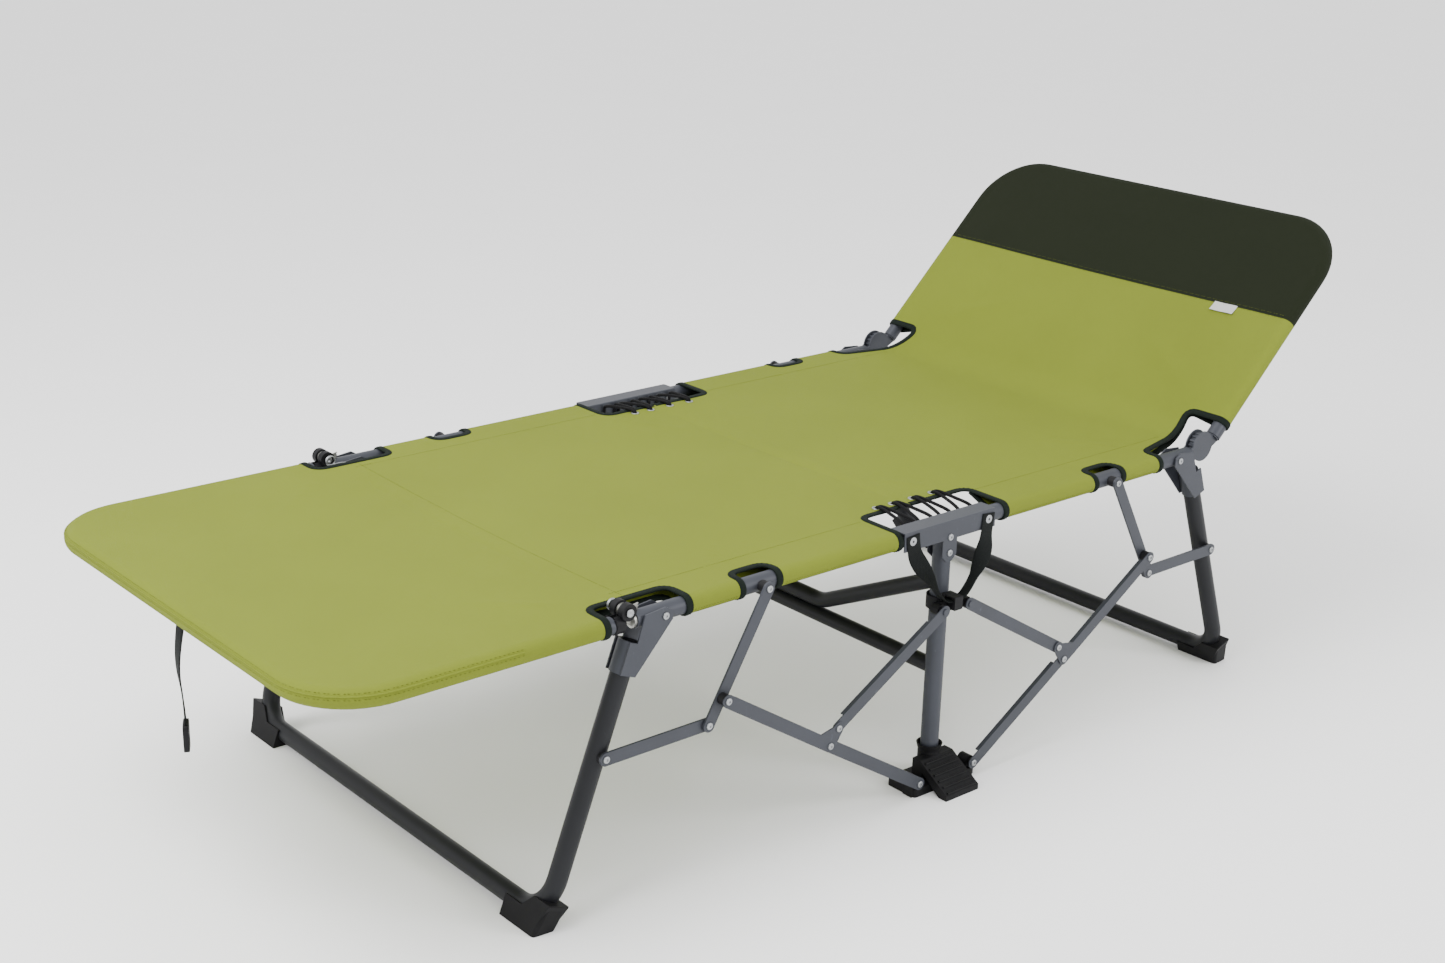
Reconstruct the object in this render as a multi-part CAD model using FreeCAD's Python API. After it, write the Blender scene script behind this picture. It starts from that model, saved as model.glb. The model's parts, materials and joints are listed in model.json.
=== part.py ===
"""Folding cot: two hinged side rails per side, a lifting centre frame with foot
pedals, two U-shaped legs driven by flat links, a hinged foot section and a
head section on ratchet hinges.

Frame: millimetres, +X towards the head end, +Y across the bed, +Z up.  The
origin is on the floor, under the middle of the part's box.
Every place is worked out in the side plane (x, z) of the head half and
mirrored to the foot half, and every side fitting is mirrored in Y.
"""
import FreeCAD, Part
import math
import os

V = FreeCAD.Vector

# ---------------------------------------------------------------- sizes
RAIL_D = 22.0            # side rails, foot frame, head frame
LEG_D = 25.0             # U legs and centre legs
BAR_D = 22.0             # crossbar and brace
TUBE_WALL = 1.5
RAIL_Z = 366.0           # height of the rail axis
RAIL_Y = 339.0           # half the distance between the rail axes

# pivots of the head half, in the side plane (x, z)
CENTRE_X = 71.0          # rail pivot in the centre channel
LINK_A_X = 326.0         # link A on the rail
LEG_X = 478.0            # leg bracket on the rail
LINK_RUN = (90.0, -156.0)     # link A: from its rail pivot to its lower pivot
A_SHARE = 0.795          # where the coupler joins link A, as a share of its run
COUPLER_FOOT = (224.0, 130.0)  # lower end of the coupler, on the pedal link
GUSSET = 25.0            # distance of the gusset pivot from the coupler's line
COLLAR_PIVOT = (24.0, RAIL_Z - 103.0)   # collar link on the collar
PEDAL_PIVOT = (52.0, 21.0)     # pedal link on the pedal
LEG_TILT = 20.5          # degrees, leg axis from upright
LEG_BAR_Z = 17.0         # height of the leg's bottom bar axis
LEG_BEND = 50.0          # bend radius of the leg, on the axis
LEG_TOP = 140.0          # leg tube above the link pivot, along the leg

# layers, measured outwards from the rail axis
FIT = 0.05               # radial clearance of a pivot in its hole
GAP = 0.4                # clearance between parts that pass each other
SHEET = 1.5              # sheet metal of links and channel
PLATE = 2.0              # sheet metal of leg brackets and hinge plates
STRIP = 3.0              # thickness of the flat links A and B
LINK_W = 17.0            # width of every link
FLANGE = 6.5             # depth of the pressed links
PIN_R = 3.0
HEAD_R = 4.6
STRAP_HEAD_R = 6.2       # rivets that also hold the carry strap
HEAD_T = 2.0
DIMPLE_R = 1.6
DIMPLE_T = 0.9
SPACER_R = 7.5

# centre frame
CHANNEL_END = 14.0       # channel beyond the rail pivot
CHANNEL_DROP = 13.0      # channel cheek below the rail axis
TAB_W = 26.0
TAB_Z = RAIL_Z - 44.0    # lower end of the channel's tab
CROSSBAR_Z = RAIL_Z - 200.0
BRACE_END_Z = RAIL_Z - 76.0   # brace axis where it meets the centre leg
BRACE_FLAT = 118.0       # half length of the brace's flat
BRACE_BEND = 60.0
LEG_FOOT_Z = 12.0        # lower end of the centre legs
COLLAR_H = 18.0
LUG_R = 8.0
BOSS_R = 5.0             # lug end, between the flanges of a pressed link
LOOP_W = 15.0            # strap loop of the collar
LOOP_WALL = 2.5
STRAP_W = 16.0
STRAP_T = 1.6
STRAP_RISE = 32.0        # knee of the carry strap above its lowest point

# pedal
SOCKET_T = 2.6
SOCKET_TOP = 54.0
FUNNEL_H = 9.0
FUNNEL_FLARE = 2.4       # rim of the funnel beyond the socket
BASE_L = 58.0            # half length of the pedal's base
BASE_H = 12.0
BASE_IN = 20.0           # base behind the leg axis
BASE_OUT = 33.0          # base in front of the leg axis
TREAD_W = 31.0           # half width of the tread
TREAD_TOP = 40.0
TREAD_OUT = 66.0         # outer edge of the tread
TREAD_T = 7.0
RIB = 2.0
RIBS = 6

# leg bracket and boot
BRACKET_LOW = 100.0      # lower edge of the bracket above the link pivot
BOOT_WALL = 2.5
BOOT_DRAFT = 11.0        # the outer side leans in by this much at the floor
BOOT_RUN = 64.0          # boot along the bottom bar, from the leg axis
BOOT_RISE = 22.0         # rim above the bottom bar axis
BOOT_LIP = 4.0           # boot above the bar axis at its inner end

# foot section, hinged at the rail end
FOOT_HINGE_X = LEG_X + 52.0
FOOT_LIFT = 16.0         # hinge axis above the rail axes on both sides
FOOT_END = FOOT_HINGE_X + 391.0   # axis of the foot frame's end bar
FRAME_BEND = 85.0
BARREL_R = 10.5
BARREL_W = 25.0
SECTOR_R = 22.0
STUB_L = 29.0             # shorter than the run from the rail end to the leg pin

# head section, on ratchet hinges
HEAD_HINGE_X = LEG_X + 60.0
HEAD_LIFT = 9.0          # hinge axis above the rail axis
HEAD_OFFSET = 17.0       # hinge axis above the head frame's axis
HEAD_TILT = 44.0         # degrees, rest position
HEAD_LENGTH = 417.0      # hinge to the axis of the end bar
DISC_R = 22.5
GEAR_R = 19.0

# cover
CLOTH = 1.5
CLOTH_GAP = 0.4
HINGE_CLEAR = 15.0       # cloth stops this far from each hinge axis
FOOT_NOTCH = (LEG_X - 35.0, FOOT_HINGE_X + 26.0, 30.0)   # from x, to x, depth inside the rail axis
A_NOTCH = (LINK_A_X - 26.0, LINK_A_X + 26.0, 15.0)
HEAD_NOTCH = (LEG_X - 34.0, 40.0)    # from x, depth
HEAD_NOTCH_UP = (72.0, 56.0)         # along the head section, depth
MID_NOTCH = (92.0, 62.0)             # half length, depth

# lacing and buckle strap
LACE_R = 1.6
EYELET_X = (-45.0, -15.0, 22.0, 62.0)
BUCKLE_STRAP_T = 2.0
BUCKLE_STRAP_W = 20.0
# (x, z) from the axis of the end bar
BUCKLE_STRAP = ((8.0, -12.0), (2.0, -41.0), (-1.0, -76.0), (4.0, -111.0), (5.0, -144.0))
BUCKLE_STRAP_BENDS = (30.0, 120.0, 90.0)
BUCKLE_L = 36.0
BUCKLE_T = 7.0

RAIL_R = RAIL_D / 2
LEG_R = LEG_D / 2
BAR_R = BAR_D / 2
CHEEK_IN = max(LEG_R, RAIL_R) + 0.1      # inner face of channel cheeks and brackets
B_OUT = LEG_R + 5.0              # inner face of link B
A_OUT = B_OUT + STRIP + 1.5      # inner face of link A
PRESSED_OUT = A_OUT + STRIP + 11.0       # outer face of the collar and pedal links
COUPLER_OUT = PRESSED_OUT + 2.0  # outer face of the coupler
COLLAR_R = LEG_R + 4.5
SOCKET_R = LEG_R + GAP + SOCKET_T
FUNNEL_R = SOCKET_R + FUNNEL_FLARE
PLUG_R = RAIL_R - TUBE_WALL - FIT  # hinge stubs inside the tubes
CLOTH_IN = RAIL_R + CLOTH_GAP
CLOTH_OUT = CLOTH_IN + CLOTH
RAIL_HOLE = PIN_R + FIT
TILT = math.radians(LEG_TILT)
SLOPE = math.radians(HEAD_TILT)


# ---------------------------------------------------------------- places
def along(p, q, share):
    """The point a share of the way from p to q."""
    return (p[0] + (q[0] - p[0]) * share, p[1] + (q[1] - p[1]) * share)


def offset(p, angle, distance):
    """The point a distance from p at an angle, in radians from +X."""
    return (p[0] + distance * math.cos(angle), p[1] + distance * math.sin(angle))


def bearing(p, q):
    return math.atan2(q[1] - p[1], q[0] - p[0])


RAIL_PIVOT = (CENTRE_X, RAIL_Z)
A_TOP = (LINK_A_X, RAIL_Z)
A_FOOT = (A_TOP[0] + LINK_RUN[0], A_TOP[1] + LINK_RUN[1])
LEG_PIVOT = (LEG_X, RAIL_Z)
B_LEG = (LEG_X + LINK_RUN[0], RAIL_Z + LINK_RUN[1])
COUPLER_TOP = along(A_TOP, A_FOOT, A_SHARE)
COUPLER_DIR = bearing(COUPLER_FOOT, COUPLER_TOP)
GUSSET_PIVOT = offset(COUPLER_FOOT, COUPLER_DIR + math.pi / 2, GUSSET)
LEG_UP = math.pi / 2 + TILT                       # direction up the leg axis
LEG_DROP = (B_LEG[1] - LEG_BAR_Z) / math.cos(TILT)
LEG_BAR = offset(B_LEG, LEG_UP, -LEG_DROP)
FOOT_HINGE = (FOOT_HINGE_X, RAIL_Z + FOOT_LIFT)
HEAD_HINGE = (HEAD_HINGE_X, RAIL_Z + HEAD_LIFT)
HEAD_BASE = offset(HEAD_HINGE, SLOPE - math.pi / 2, HEAD_OFFSET)   # head frame's axis, under the hinge
TAB_RIVETS = (TAB_Z + 12, RAIL_Z - 10)
ARM_IN = LEG_R + BOOT_WALL + 0.6                  # the collar's arm passes outside the leg boots
LUG_OUT = PRESSED_OUT - FLANGE - GAP              # outer ends of the link lugs and of their bosses
BOSS_OUT = PRESSED_OUT - SHEET - GAP
STRAP_OUT = COLLAR_R + 0.7 + STRAP_W / 2          # middle of the carry strap
STRAP_LOW = COLLAR_PIVOT[1] + LUG_R + STRAP_T / 2 + GAP


# ---------------------------------------------------------------- helpers
def at(end, side, p, out=0.0):
    """A point of the head half's side plane, mirrored to an end and a side."""
    return V(end * p[0], side * (RAIL_Y + out), p[1])


def rod(end, side, p, r, out0, out1):
    """A cylinder across the side plane, between two distances from the rail axis."""
    start = at(end, side, p, out0)
    return Part.makeCylinder(r, abs(out1 - out0), start, V(0, math.copysign(1, out1 - out0) * side, 0))


def plate(end, side, points, out0, out1):
    """A flat plate in the side plane with the given outline."""
    wire = Part.makePolygon([at(end, side, p, out0) for p in points + [points[0]]])
    return Part.Face(wire).extrude(V(0, side * (out1 - out0), 0))


def bar(end, side, p, q, width, out0, out1):
    """A round-ended flat bar from p to q."""
    a = bearing(p, q) + math.pi / 2
    half = width / 2
    corners = [offset(p, a, half), offset(q, a, half), offset(q, a, -half), offset(p, a, -half)]
    body = plate(end, side, corners, out0, out1)
    for point in (p, q):
        body = body.fuse(rod(end, side, point, half, out0, out1))
    return body.removeSplitter()


def channel_bar(end, side, p, q, outer, clear_p, clear_q):
    """A pressed link: a round-ended web with two flanges on its inner side."""
    web = bar(end, side, p, q, LINK_W, outer - SHEET, outer)
    a = bearing(p, q)
    start, stop = offset(p, a, clear_p), offset(q, a, -clear_q)
    for s in (1, -1):
        edge = a + s * math.pi / 2
        corners = [offset(start, edge, LINK_W / 2), offset(stop, edge, LINK_W / 2),
                   offset(stop, edge, LINK_W / 2 - SHEET), offset(start, edge, LINK_W / 2 - SHEET)]
        web = web.fuse(plate(end, side, corners, outer - FLANGE, outer))
    return web.removeSplitter()


def rivet(end, side, p, r, inner, outer, head=HEAD_R):
    """A pin with a low domed head, dimpled in its middle, on its outer end."""
    pin = rod(end, side, p, r, inner, outer + HEAD_T)
    dome = rod(end, side, p, head, outer, outer + HEAD_T)
    rim = [e for e in dome.Edges if abs(e.BoundBox.Center.y - side * (RAIL_Y + outer + HEAD_T)) < 0.01]
    dimple = rod(end, side, p, DIMPLE_R, outer + HEAD_T - DIMPLE_T, outer + HEAD_T + 1)
    return pin.fuse(dome.makeFillet(HEAD_T * 0.6, rim[:1])).cut(dimple).removeSplitter()


def path(points, bends):
    """A wire through points, with an arc of the given radius at each inner point."""
    if not isinstance(bends, (list, tuple)):
        bends = [bends] * (len(points) - 2)
    edges, last = [], points[0]
    for before, corner, after, radius in zip(points, points[1:], points[2:], bends):
        u = (before - corner).normalize()
        w = (after - corner).normalize()
        half = u.getAngle(w) / 2
        back = radius / math.tan(half)
        middle = corner + (u + w).normalize() * (radius / math.sin(half) - radius)
        start, stop = corner + u * back, corner + w * back
        edges += [Part.makeLine(last, start), Part.Arc(start, middle, stop).toShape()]
        last = stop
    edges.append(Part.makeLine(last, points[-1]))
    return Part.Wire(edges)


def sweep(wire, r):
    """A round bar along a path."""
    first = wire.Edges[0]
    circle = Part.Wire(Part.makeCircle(r, first.Vertexes[0].Point, first.tangentAt(first.FirstParameter)))
    return wire.makePipeShell([circle], True, False)


def pipe(wire, r, wall=TUBE_WALL):
    return sweep(wire, r).cut(sweep(wire, r - wall))


def ribbon(points, bends, y, width, thick):
    """A flat strap whose thickness lies in the side plane, along a path of (x, z) points."""
    spine = path([V(x, y, z) for x, z in points], bends)
    edge = spine.Edges[0]
    t = edge.tangentAt(edge.FirstParameter)
    n = V(0, 1, 0).cross(t).normalize() * (thick / 2)
    w = V(0, width / 2, 0)
    p = spine.Edges[0].Vertexes[0].Point
    section = Part.makePolygon([p + n + w, p - n + w, p - n - w, p + n - w, p + n + w])
    return spine.makePipeShell([section], True, False)


def lug(end, side, p, out0):
    """A round lug with a smaller boss that reaches in between the flanges of its link."""
    return rod(end, side, p, LUG_R, out0, LUG_OUT).fuse(rod(end, side, p, BOSS_R, out0, BOSS_OUT))


def box(x0, x1, y0, y1, z0, z1):
    return Part.makeBox(abs(x1 - x0), abs(y1 - y0), abs(z1 - z0), V(min(x0, x1), min(y0, y1), min(z0, z1)))


def side_box(side, x0, x1, out0, out1, z0, z1):
    return box(x0, x1, side * (RAIL_Y + out0), side * (RAIL_Y + out1), z0, z1)


def both(make):
    """The left and the right copy of a part, in one compound."""
    return Part.makeCompound([make(-1), make(1)])


def tilted(shape, end, pivot, angle):
    """Turn a part about Y through a point of the side plane, mirrored to an end."""
    shape = shape.copy()
    shape.rotate(V(end * pivot[0], 0, pivot[1]), V(0, -1, 0), math.degrees(angle) * end)
    return shape


parts = {}


# ---------------------------------------------------------------- pedals
def pedal(side):
    """The floor block: a socket for the centre leg, a ribbed tread and the link lugs."""
    block = side_box(side, -BASE_L, BASE_L, -BASE_IN, BASE_OUT, 0, BASE_H)
    corner = [e for e in block.Edges if e.Vertexes[0].Point.z != e.Vertexes[-1].Point.z]
    block = block.makeFillet(6, corner)
    axis = at(1, side, (0, 0))
    block = block.fuse(Part.makeCylinder(SOCKET_R, SOCKET_TOP, axis))
    funnel = Part.makeCone(SOCKET_R, FUNNEL_R, FUNNEL_H, axis + V(0, 0, SOCKET_TOP - FUNNEL_H))
    block = block.fuse(funnel)
    tread = [(0, BASE_H / 2), (0, TREAD_TOP), (LEG_R + 2, TREAD_TOP), (TREAD_OUT, TREAD_T + 1),
             (TREAD_OUT, 0), (TREAD_OUT - 14, 0), (LEG_R + 6, TREAD_TOP - 16), (LEG_R + 6, BASE_H / 2)]
    wire = Part.makePolygon([V(-TREAD_W, side * (RAIL_Y + o), z) for o, z in tread + [tread[0]]])
    block = block.fuse(Part.Face(wire).extrude(V(2 * TREAD_W, 0, 0)))
    slope = bearing((LEG_R + 2, TREAD_TOP), (TREAD_OUT, TREAD_T + 1))
    run = math.hypot(TREAD_OUT - LEG_R - 2, TREAD_TOP - TREAD_T - 1)
    for i in range(RIBS):
        o, z = offset((LEG_R + 2, TREAD_TOP), slope, run * (i + 0.7) / RIBS)
        rib = Part.makeCylinder(RIB, 2 * TREAD_W - 8, V(-TREAD_W + 4, side * (RAIL_Y + o), z), V(1, 0, 0))
        block = block.fuse(rib)
    for end in (-1, 1):
        x, z = PEDAL_PIVOT
        web = side_box(side, end * (x - LUG_R), end * (x + LUG_R), LEG_R, LUG_OUT, 0, z)
        block = block.fuse([lug(end, side, PEDAL_PIVOT, LEG_R), web])
        block = block.cut(rod(end, side, PEDAL_PIVOT, PIN_R + FIT, LEG_R - 1, BOSS_OUT + 1))
    bore = Part.makeCylinder(LEG_R + GAP, SOCKET_TOP, axis + V(0, 0, LEG_FOOT_Z))
    mouth = Part.makeCone(LEG_R + GAP, FUNNEL_R - 2, FUNNEL_H + 0.1, axis + V(0, 0, SOCKET_TOP - FUNNEL_H))
    return block.cut([bore, mouth]).removeSplitter()


parts["pedal_left"] = pedal(-1)
parts["pedal_right"] = pedal(1)
parts["pedal_pins"] = Part.makeCompound(
    [rivet(end, side, PEDAL_PIVOT, PIN_R, LEG_R, PRESSED_OUT + FIT) for end in (-1, 1) for side in (-1, 1)])


# ---------------------------------------------------------------- centre frame
def centre_leg(side):
    top = RAIL_Z + RAIL_R
    tube = Part.makeCylinder(LEG_R, top - LEG_FOOT_Z, at(1, side, (0, LEG_FOOT_Z)))
    bore = Part.makeCylinder(LEG_R - TUBE_WALL, top - LEG_FOOT_Z, at(1, side, (0, LEG_FOOT_Z)))
    tube = tube.cut(bore)
    for z in TAB_RIVETS:
        tube = tube.cut(rod(1, side, (0, z), RAIL_HOLE, -LEG_R - 1, LEG_R + 1))
    return tube


def channel(side):
    """An inverted U over both rail ends, with a tab down each face of the centre leg."""
    half = CENTRE_X + CHANNEL_END
    top = RAIL_Z + RAIL_R + GAP
    body = side_box(side, -half, half, -CHEEK_IN - SHEET, CHEEK_IN + SHEET,
                    RAIL_Z - CHANNEL_DROP, top + SHEET)
    body = body.cut(side_box(side, -half, half, -CHEEK_IN, CHEEK_IN, RAIL_Z - CHANNEL_DROP, top))
    long_edges = [e for e in body.Edges if e.BoundBox.XLength > half and e.BoundBox.YLength < 0.01
                  and e.BoundBox.Center.z > top + SHEET - 0.01]
    body = body.makeFillet(SHEET * 0.9, long_edges)
    corner = 8.0
    for face in (-1, 1):
        tab = side_box(side, -TAB_W / 2, TAB_W / 2, face * CHEEK_IN, face * (CHEEK_IN + SHEET),
                       TAB_Z + corner, RAIL_Z)
        foot = plate(1, side, [(-TAB_W / 2, TAB_Z + corner), (-TAB_W / 2 + corner, TAB_Z),
                               (TAB_W / 2 - corner, TAB_Z), (TAB_W / 2, TAB_Z + corner)],
                     face * CHEEK_IN, face * (CHEEK_IN + SHEET))
        body = body.fuse([tab, foot])
    for end in (-1, 1):
        body = body.cut(rod(end, side, RAIL_PIVOT, RAIL_HOLE, -30, 30))
    for z in TAB_RIVETS:
        body = body.cut(rod(1, side, (0, z), RAIL_HOLE, -30, 30))
    return body.removeSplitter()


def collar(side):
    """The plastic collar: lugs for the collar links and a loop for the carry strap."""
    x, z = COLLAR_PIVOT
    low = z - COLLAR_H / 2
    body = Part.makeCylinder(COLLAR_R, COLLAR_H, at(1, side, (0, low)))
    neck = side_box(side, -LOOP_W / 2, LOOP_W / 2, COLLAR_R - 4, COLLAR_R + 1, z - LUG_R, z + LUG_R)
    arm = side_box(side, -x, x, ARM_IN, COLLAR_R + 5, z - LUG_R, z + LUG_R)
    body = body.fuse([neck, arm] + [lug(end, side, COLLAR_PIVOT, ARM_IN) for end in (-1, 1)])
    top = STRAP_LOW + STRAP_T + 2.5
    front = STRAP_OUT + STRAP_W / 2 + GAP
    loop = side_box(side, -LOOP_W / 2, LOOP_W / 2, COLLAR_R - 4, front + LOOP_WALL,
                    z - LOOP_WALL, top + LOOP_WALL)
    hole = side_box(side, -LOOP_W, LOOP_W, STRAP_OUT - STRAP_W / 2 - 0.2, front, z + LUG_R, top)
    body = body.fuse(loop).cut(hole)
    return body.cut(Part.makeCylinder(LEG_R, COLLAR_H * 2, at(1, side, (0, low - 5)))).removeSplitter()


def brace_path():
    rise = [(RAIL_Y - LEG_R * 0.6, BRACE_END_Z), (BRACE_FLAT, CROSSBAR_Z + BAR_D + 0.1)]
    points = rise + [(-y, z) for y, z in reversed(rise)]
    return path([V(0, y, z) for y, z in points], BRACE_BEND)


def carry_strap(side):
    """A webbing loop from both rail pivots down through the collar's loop."""
    top = (CENTRE_X - STRAP_HEAD_R - 2, RAIL_Z - CHANNEL_DROP - 2)
    knee = (CENTRE_X * 0.56, STRAP_LOW + STRAP_RISE)
    turn = LOOP_W * 0.7
    points = [(-top[0], top[1]), (-knee[0], knee[1]), (-turn, STRAP_LOW), (turn, STRAP_LOW), knee, top]
    return ribbon(points, (60.0, 20.0, 20.0, 60.0), side * (RAIL_Y + STRAP_OUT), STRAP_W, STRAP_T)


def lacing(side):
    """The cord that ties the cover's eyelets to the underside of the channel."""
    z_cloth = RAIL_Z + CLOTH_OUT + LACE_R + 0.1
    z_low = RAIL_Z - CHANNEL_DROP - LACE_R - 0.1
    y_eye = side * (RAIL_Y - MID_NOTCH[1] + 1)
    y_out = side * (RAIL_Y - CHEEK_IN - SHEET - LACE_R - 0.3)
    runs = [path([V(x, y_eye, z_cloth), V(x, y_out, z_cloth), V(x, y_out, z_low)], 6.0) for x in EYELET_X]
    return [sweep(run, LACE_R) for run in runs]


parts["centre_leg_left"] = centre_leg(-1)
parts["centre_leg_right"] = centre_leg(1)
parts["channel_left"] = channel(-1)
parts["channel_right"] = channel(1)
parts["collars"] = both(collar)
crossbar = Part.makeCylinder(BAR_R, 2 * RAIL_Y, V(0, -RAIL_Y, CROSSBAR_Z), V(0, 1, 0)).cut(
    Part.makeCylinder(BAR_R - TUBE_WALL, 2 * RAIL_Y, V(0, -RAIL_Y, CROSSBAR_Z), V(0, 1, 0)))
leg_bodies = [Part.makeCylinder(LEG_R, RAIL_Z, at(1, s, (0, 0))) for s in (-1, 1)]
parts["crossbar"] = crossbar.cut(leg_bodies)
parts["brace"] = pipe(brace_path(), BAR_R).cut(leg_bodies)
parts["carry_straps"] = both(carry_strap)
cheek_out = CHEEK_IN + SHEET
rivets = []
for s in (-1, 1):
    rivets += [rivet(e, s, RAIL_PIVOT, PIN_R, -cheek_out - 2, cheek_out, STRAP_HEAD_R) for e in (-1, 1)]
    rivets += [rivet(1, s, (0, z), PIN_R, -cheek_out - 2, cheek_out) for z in TAB_RIVETS]
parts["centre_rivets"] = Part.makeCompound(rivets)
parts["lacing"] = Part.makeCompound(lacing(-1) + lacing(1))


# ---------------------------------------------------------------- half rails
def half_rail(end, side, stop):
    """A rail tube, rounded at the channel so that it can turn inside it."""
    start = at(end, side, (CENTRE_X - RAIL_R, RAIL_Z))
    tube = Part.makeCylinder(RAIL_R, stop - CENTRE_X + RAIL_R, start, V(end, 0, 0))
    envelope = rod(end, side, RAIL_PIVOT, RAIL_R, -RAIL_R, RAIL_R).fuse(
        side_box(side, end * CENTRE_X, end * stop, -RAIL_R, RAIL_R, RAIL_Z - RAIL_R, RAIL_Z + RAIL_R))
    bore = Part.makeCylinder(RAIL_R - TUBE_WALL, stop, at(end, side, (0, RAIL_Z)), V(end, 0, 0))
    tube = tube.common(envelope).cut(bore)
    for pivot in (RAIL_PIVOT, A_TOP, LEG_PIVOT):
        tube = tube.cut(rod(end, side, pivot, RAIL_HOLE, -RAIL_R - 1, RAIL_R + 1))
    return tube


def rail_pins(end):
    shapes = []
    for s in (-1, 1):
        shapes.append(rivet(end, s, A_TOP, PIN_R, -RAIL_R - 2, A_OUT + STRIP + FIT))
        shapes.append(rivet(end, s, LEG_PIVOT, PIN_R, -CHEEK_IN - PLATE - 2, CHEEK_IN + PLATE + FIT))
    return Part.makeCompound(shapes)


def spacers(end, p, inner, outer, hole=PIN_R + FIT):
    def ring(side):
        return rod(end, side, p, SPACER_R, inner, outer).cut(rod(end, side, p, hole, inner - 1, outer + 1))
    return both(ring)


def rail_cloth(end, stop, notch_far):
    """The cover of one half: a flat sheet with a sleeve round each rail."""
    low, high = RAIL_Z + CLOTH_IN, RAIL_Z + CLOTH_OUT
    sheet = box(end * 1.0, end * stop, -RAIL_Y, RAIL_Y, low, high)
    for s in (-1, 1):
        start = at(end, s, (0, RAIL_Z))
        ring = Part.makeCylinder(CLOTH_OUT, stop, start, V(end, 0, 0)).cut(
            Part.makeCylinder(CLOTH_IN, stop, start, V(end, 0, 0)))
        sheet = sheet.fuse(ring)
    for s in (-1, 1):
        for x0, x1, depth in ((0, MID_NOTCH[0], MID_NOTCH[1]), A_NOTCH, notch_far):
            sheet = sheet.cut(side_box(s, end * x0, end * x1, -depth, CLOTH_OUT + 1, 0, high + 1))
    return sheet.removeSplitter()


RAIL_STOP = {-1: FOOT_HINGE_X - BARREL_R - 4, 1: HEAD_HINGE_X - DISC_R - 4}
CLOTH_STOP = {-1: FOOT_HINGE_X - HINGE_CLEAR, 1: HEAD_HINGE_X - HINGE_CLEAR}
FAR_NOTCH = {-1: FOOT_NOTCH, 1: (HEAD_NOTCH[0], HEAD_HINGE_X, HEAD_NOTCH[1])}
for e, name in ((-1, "foot"), (1, "head")):
    for s, hand in ((-1, "left"), (1, "right")):
        parts[f"rail_{name}_{hand}"] = half_rail(e, s, RAIL_STOP[e])
    parts[f"pins_{name}_half"] = rail_pins(e)
    parts[f"spacers_{name}_half"] = spacers(e, A_TOP, RAIL_R, A_OUT - 0.3)
    parts[f"cover_{name}_half"] = rail_cloth(e, CLOTH_STOP[e], FAR_NOTCH[e])


# ---------------------------------------------------------------- foot hinge and foot section
def hinge_plate(side):
    """The fixed half of the foot hinge: a riveted stub and a toothed sector."""
    stop = RAIL_STOP[-1]
    plug = Part.makeCylinder(PLUG_R, STUB_L + 4, at(-1, side, (stop - STUB_L, RAIL_Z)), V(-1, 0, 0))
    ear = plate(-1, side, [(stop + GAP, RAIL_Z - RAIL_R + 1), (FOOT_HINGE_X - 2, RAIL_Z + 2),
                           (FOOT_HINGE_X, RAIL_Z + 8), (stop + GAP, RAIL_Z + RAIL_R - 1)],
                -PLATE * 1.5, PLATE * 1.5)
    sector = rod(-1, side, FOOT_HINGE, SECTOR_R, -PLATE / 2, PLATE / 2)
    keep = plate(-1, side, [FOOT_HINGE, offset(FOOT_HINGE, math.radians(222), SECTOR_R * 2),
                            offset(FOOT_HINGE, math.radians(200), SECTOR_R * 2),
                            offset(FOOT_HINGE, math.radians(170), SECTOR_R * 2)], -PLATE, PLATE)
    rail_end = Part.makeCylinder(RAIL_R + GAP, SECTOR_R, at(-1, side, (stop + GAP, RAIL_Z)), V(1, 0, 0))
    sector = sector.common(keep).cut(rail_end)
    hub = rod(-1, side, FOOT_HINGE, 8.0, -PLATE * 1.5, PLATE * 1.5)
    body = plug.fuse([ear, sector, hub]).cut(rod(-1, side, FOOT_HINGE, PIN_R + FIT, -20, 20))
    for i in range(5):
        tooth = offset(FOOT_HINGE, math.radians(176 + 9 * i), SECTOR_R)
        body = body.cut(rod(-1, side, tooth, 1.6, -PLATE, PLATE))
    return body.removeSplitter()


def knuckle(side):
    """The moving half of the foot hinge: a forked plastic barrel with its pin."""
    half = BARREL_W / 2
    slot = PLATE * 1.5 + GAP
    barrel = rod(-1, side, FOOT_HINGE, BARREL_R, -half, half)
    neck_end = FOOT_HINGE_X + BARREL_R + 6
    neck = Part.makeCylinder(RAIL_R + 0.8, neck_end - FOOT_HINGE_X - 3,
                             at(-1, side, (FOOT_HINGE_X + 3, RAIL_Z)), V(-1, 0, 0))
    fork = rod(-1, side, FOOT_HINGE, SECTOR_R + 3, -slot, slot)
    body = barrel.fuse(neck).cut(fork)
    body = body.fuse(side_box(side, -neck_end + 1, -neck_end - 1, -RAIL_R, RAIL_R, RAIL_Z - RAIL_R + 2,
                              RAIL_Z + RAIL_R - 2))
    pin = rod(-1, side, FOOT_HINGE, PIN_R, -half - 1.5, half + 1.5)
    cap = rod(-1, side, FOOT_HINGE, HEAD_R, half, half + 1.5)
    return body.fuse([pin, cap]).removeSplitter()


def foot_points():
    start = FOOT_HINGE_X + BARREL_R + 7.2
    corners = [(start, -1), (FOOT_END, -1), (FOOT_END, 1), (start, 1)]
    return [V(-x, s * RAIL_Y, RAIL_Z) for x, s in corners]


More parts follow.
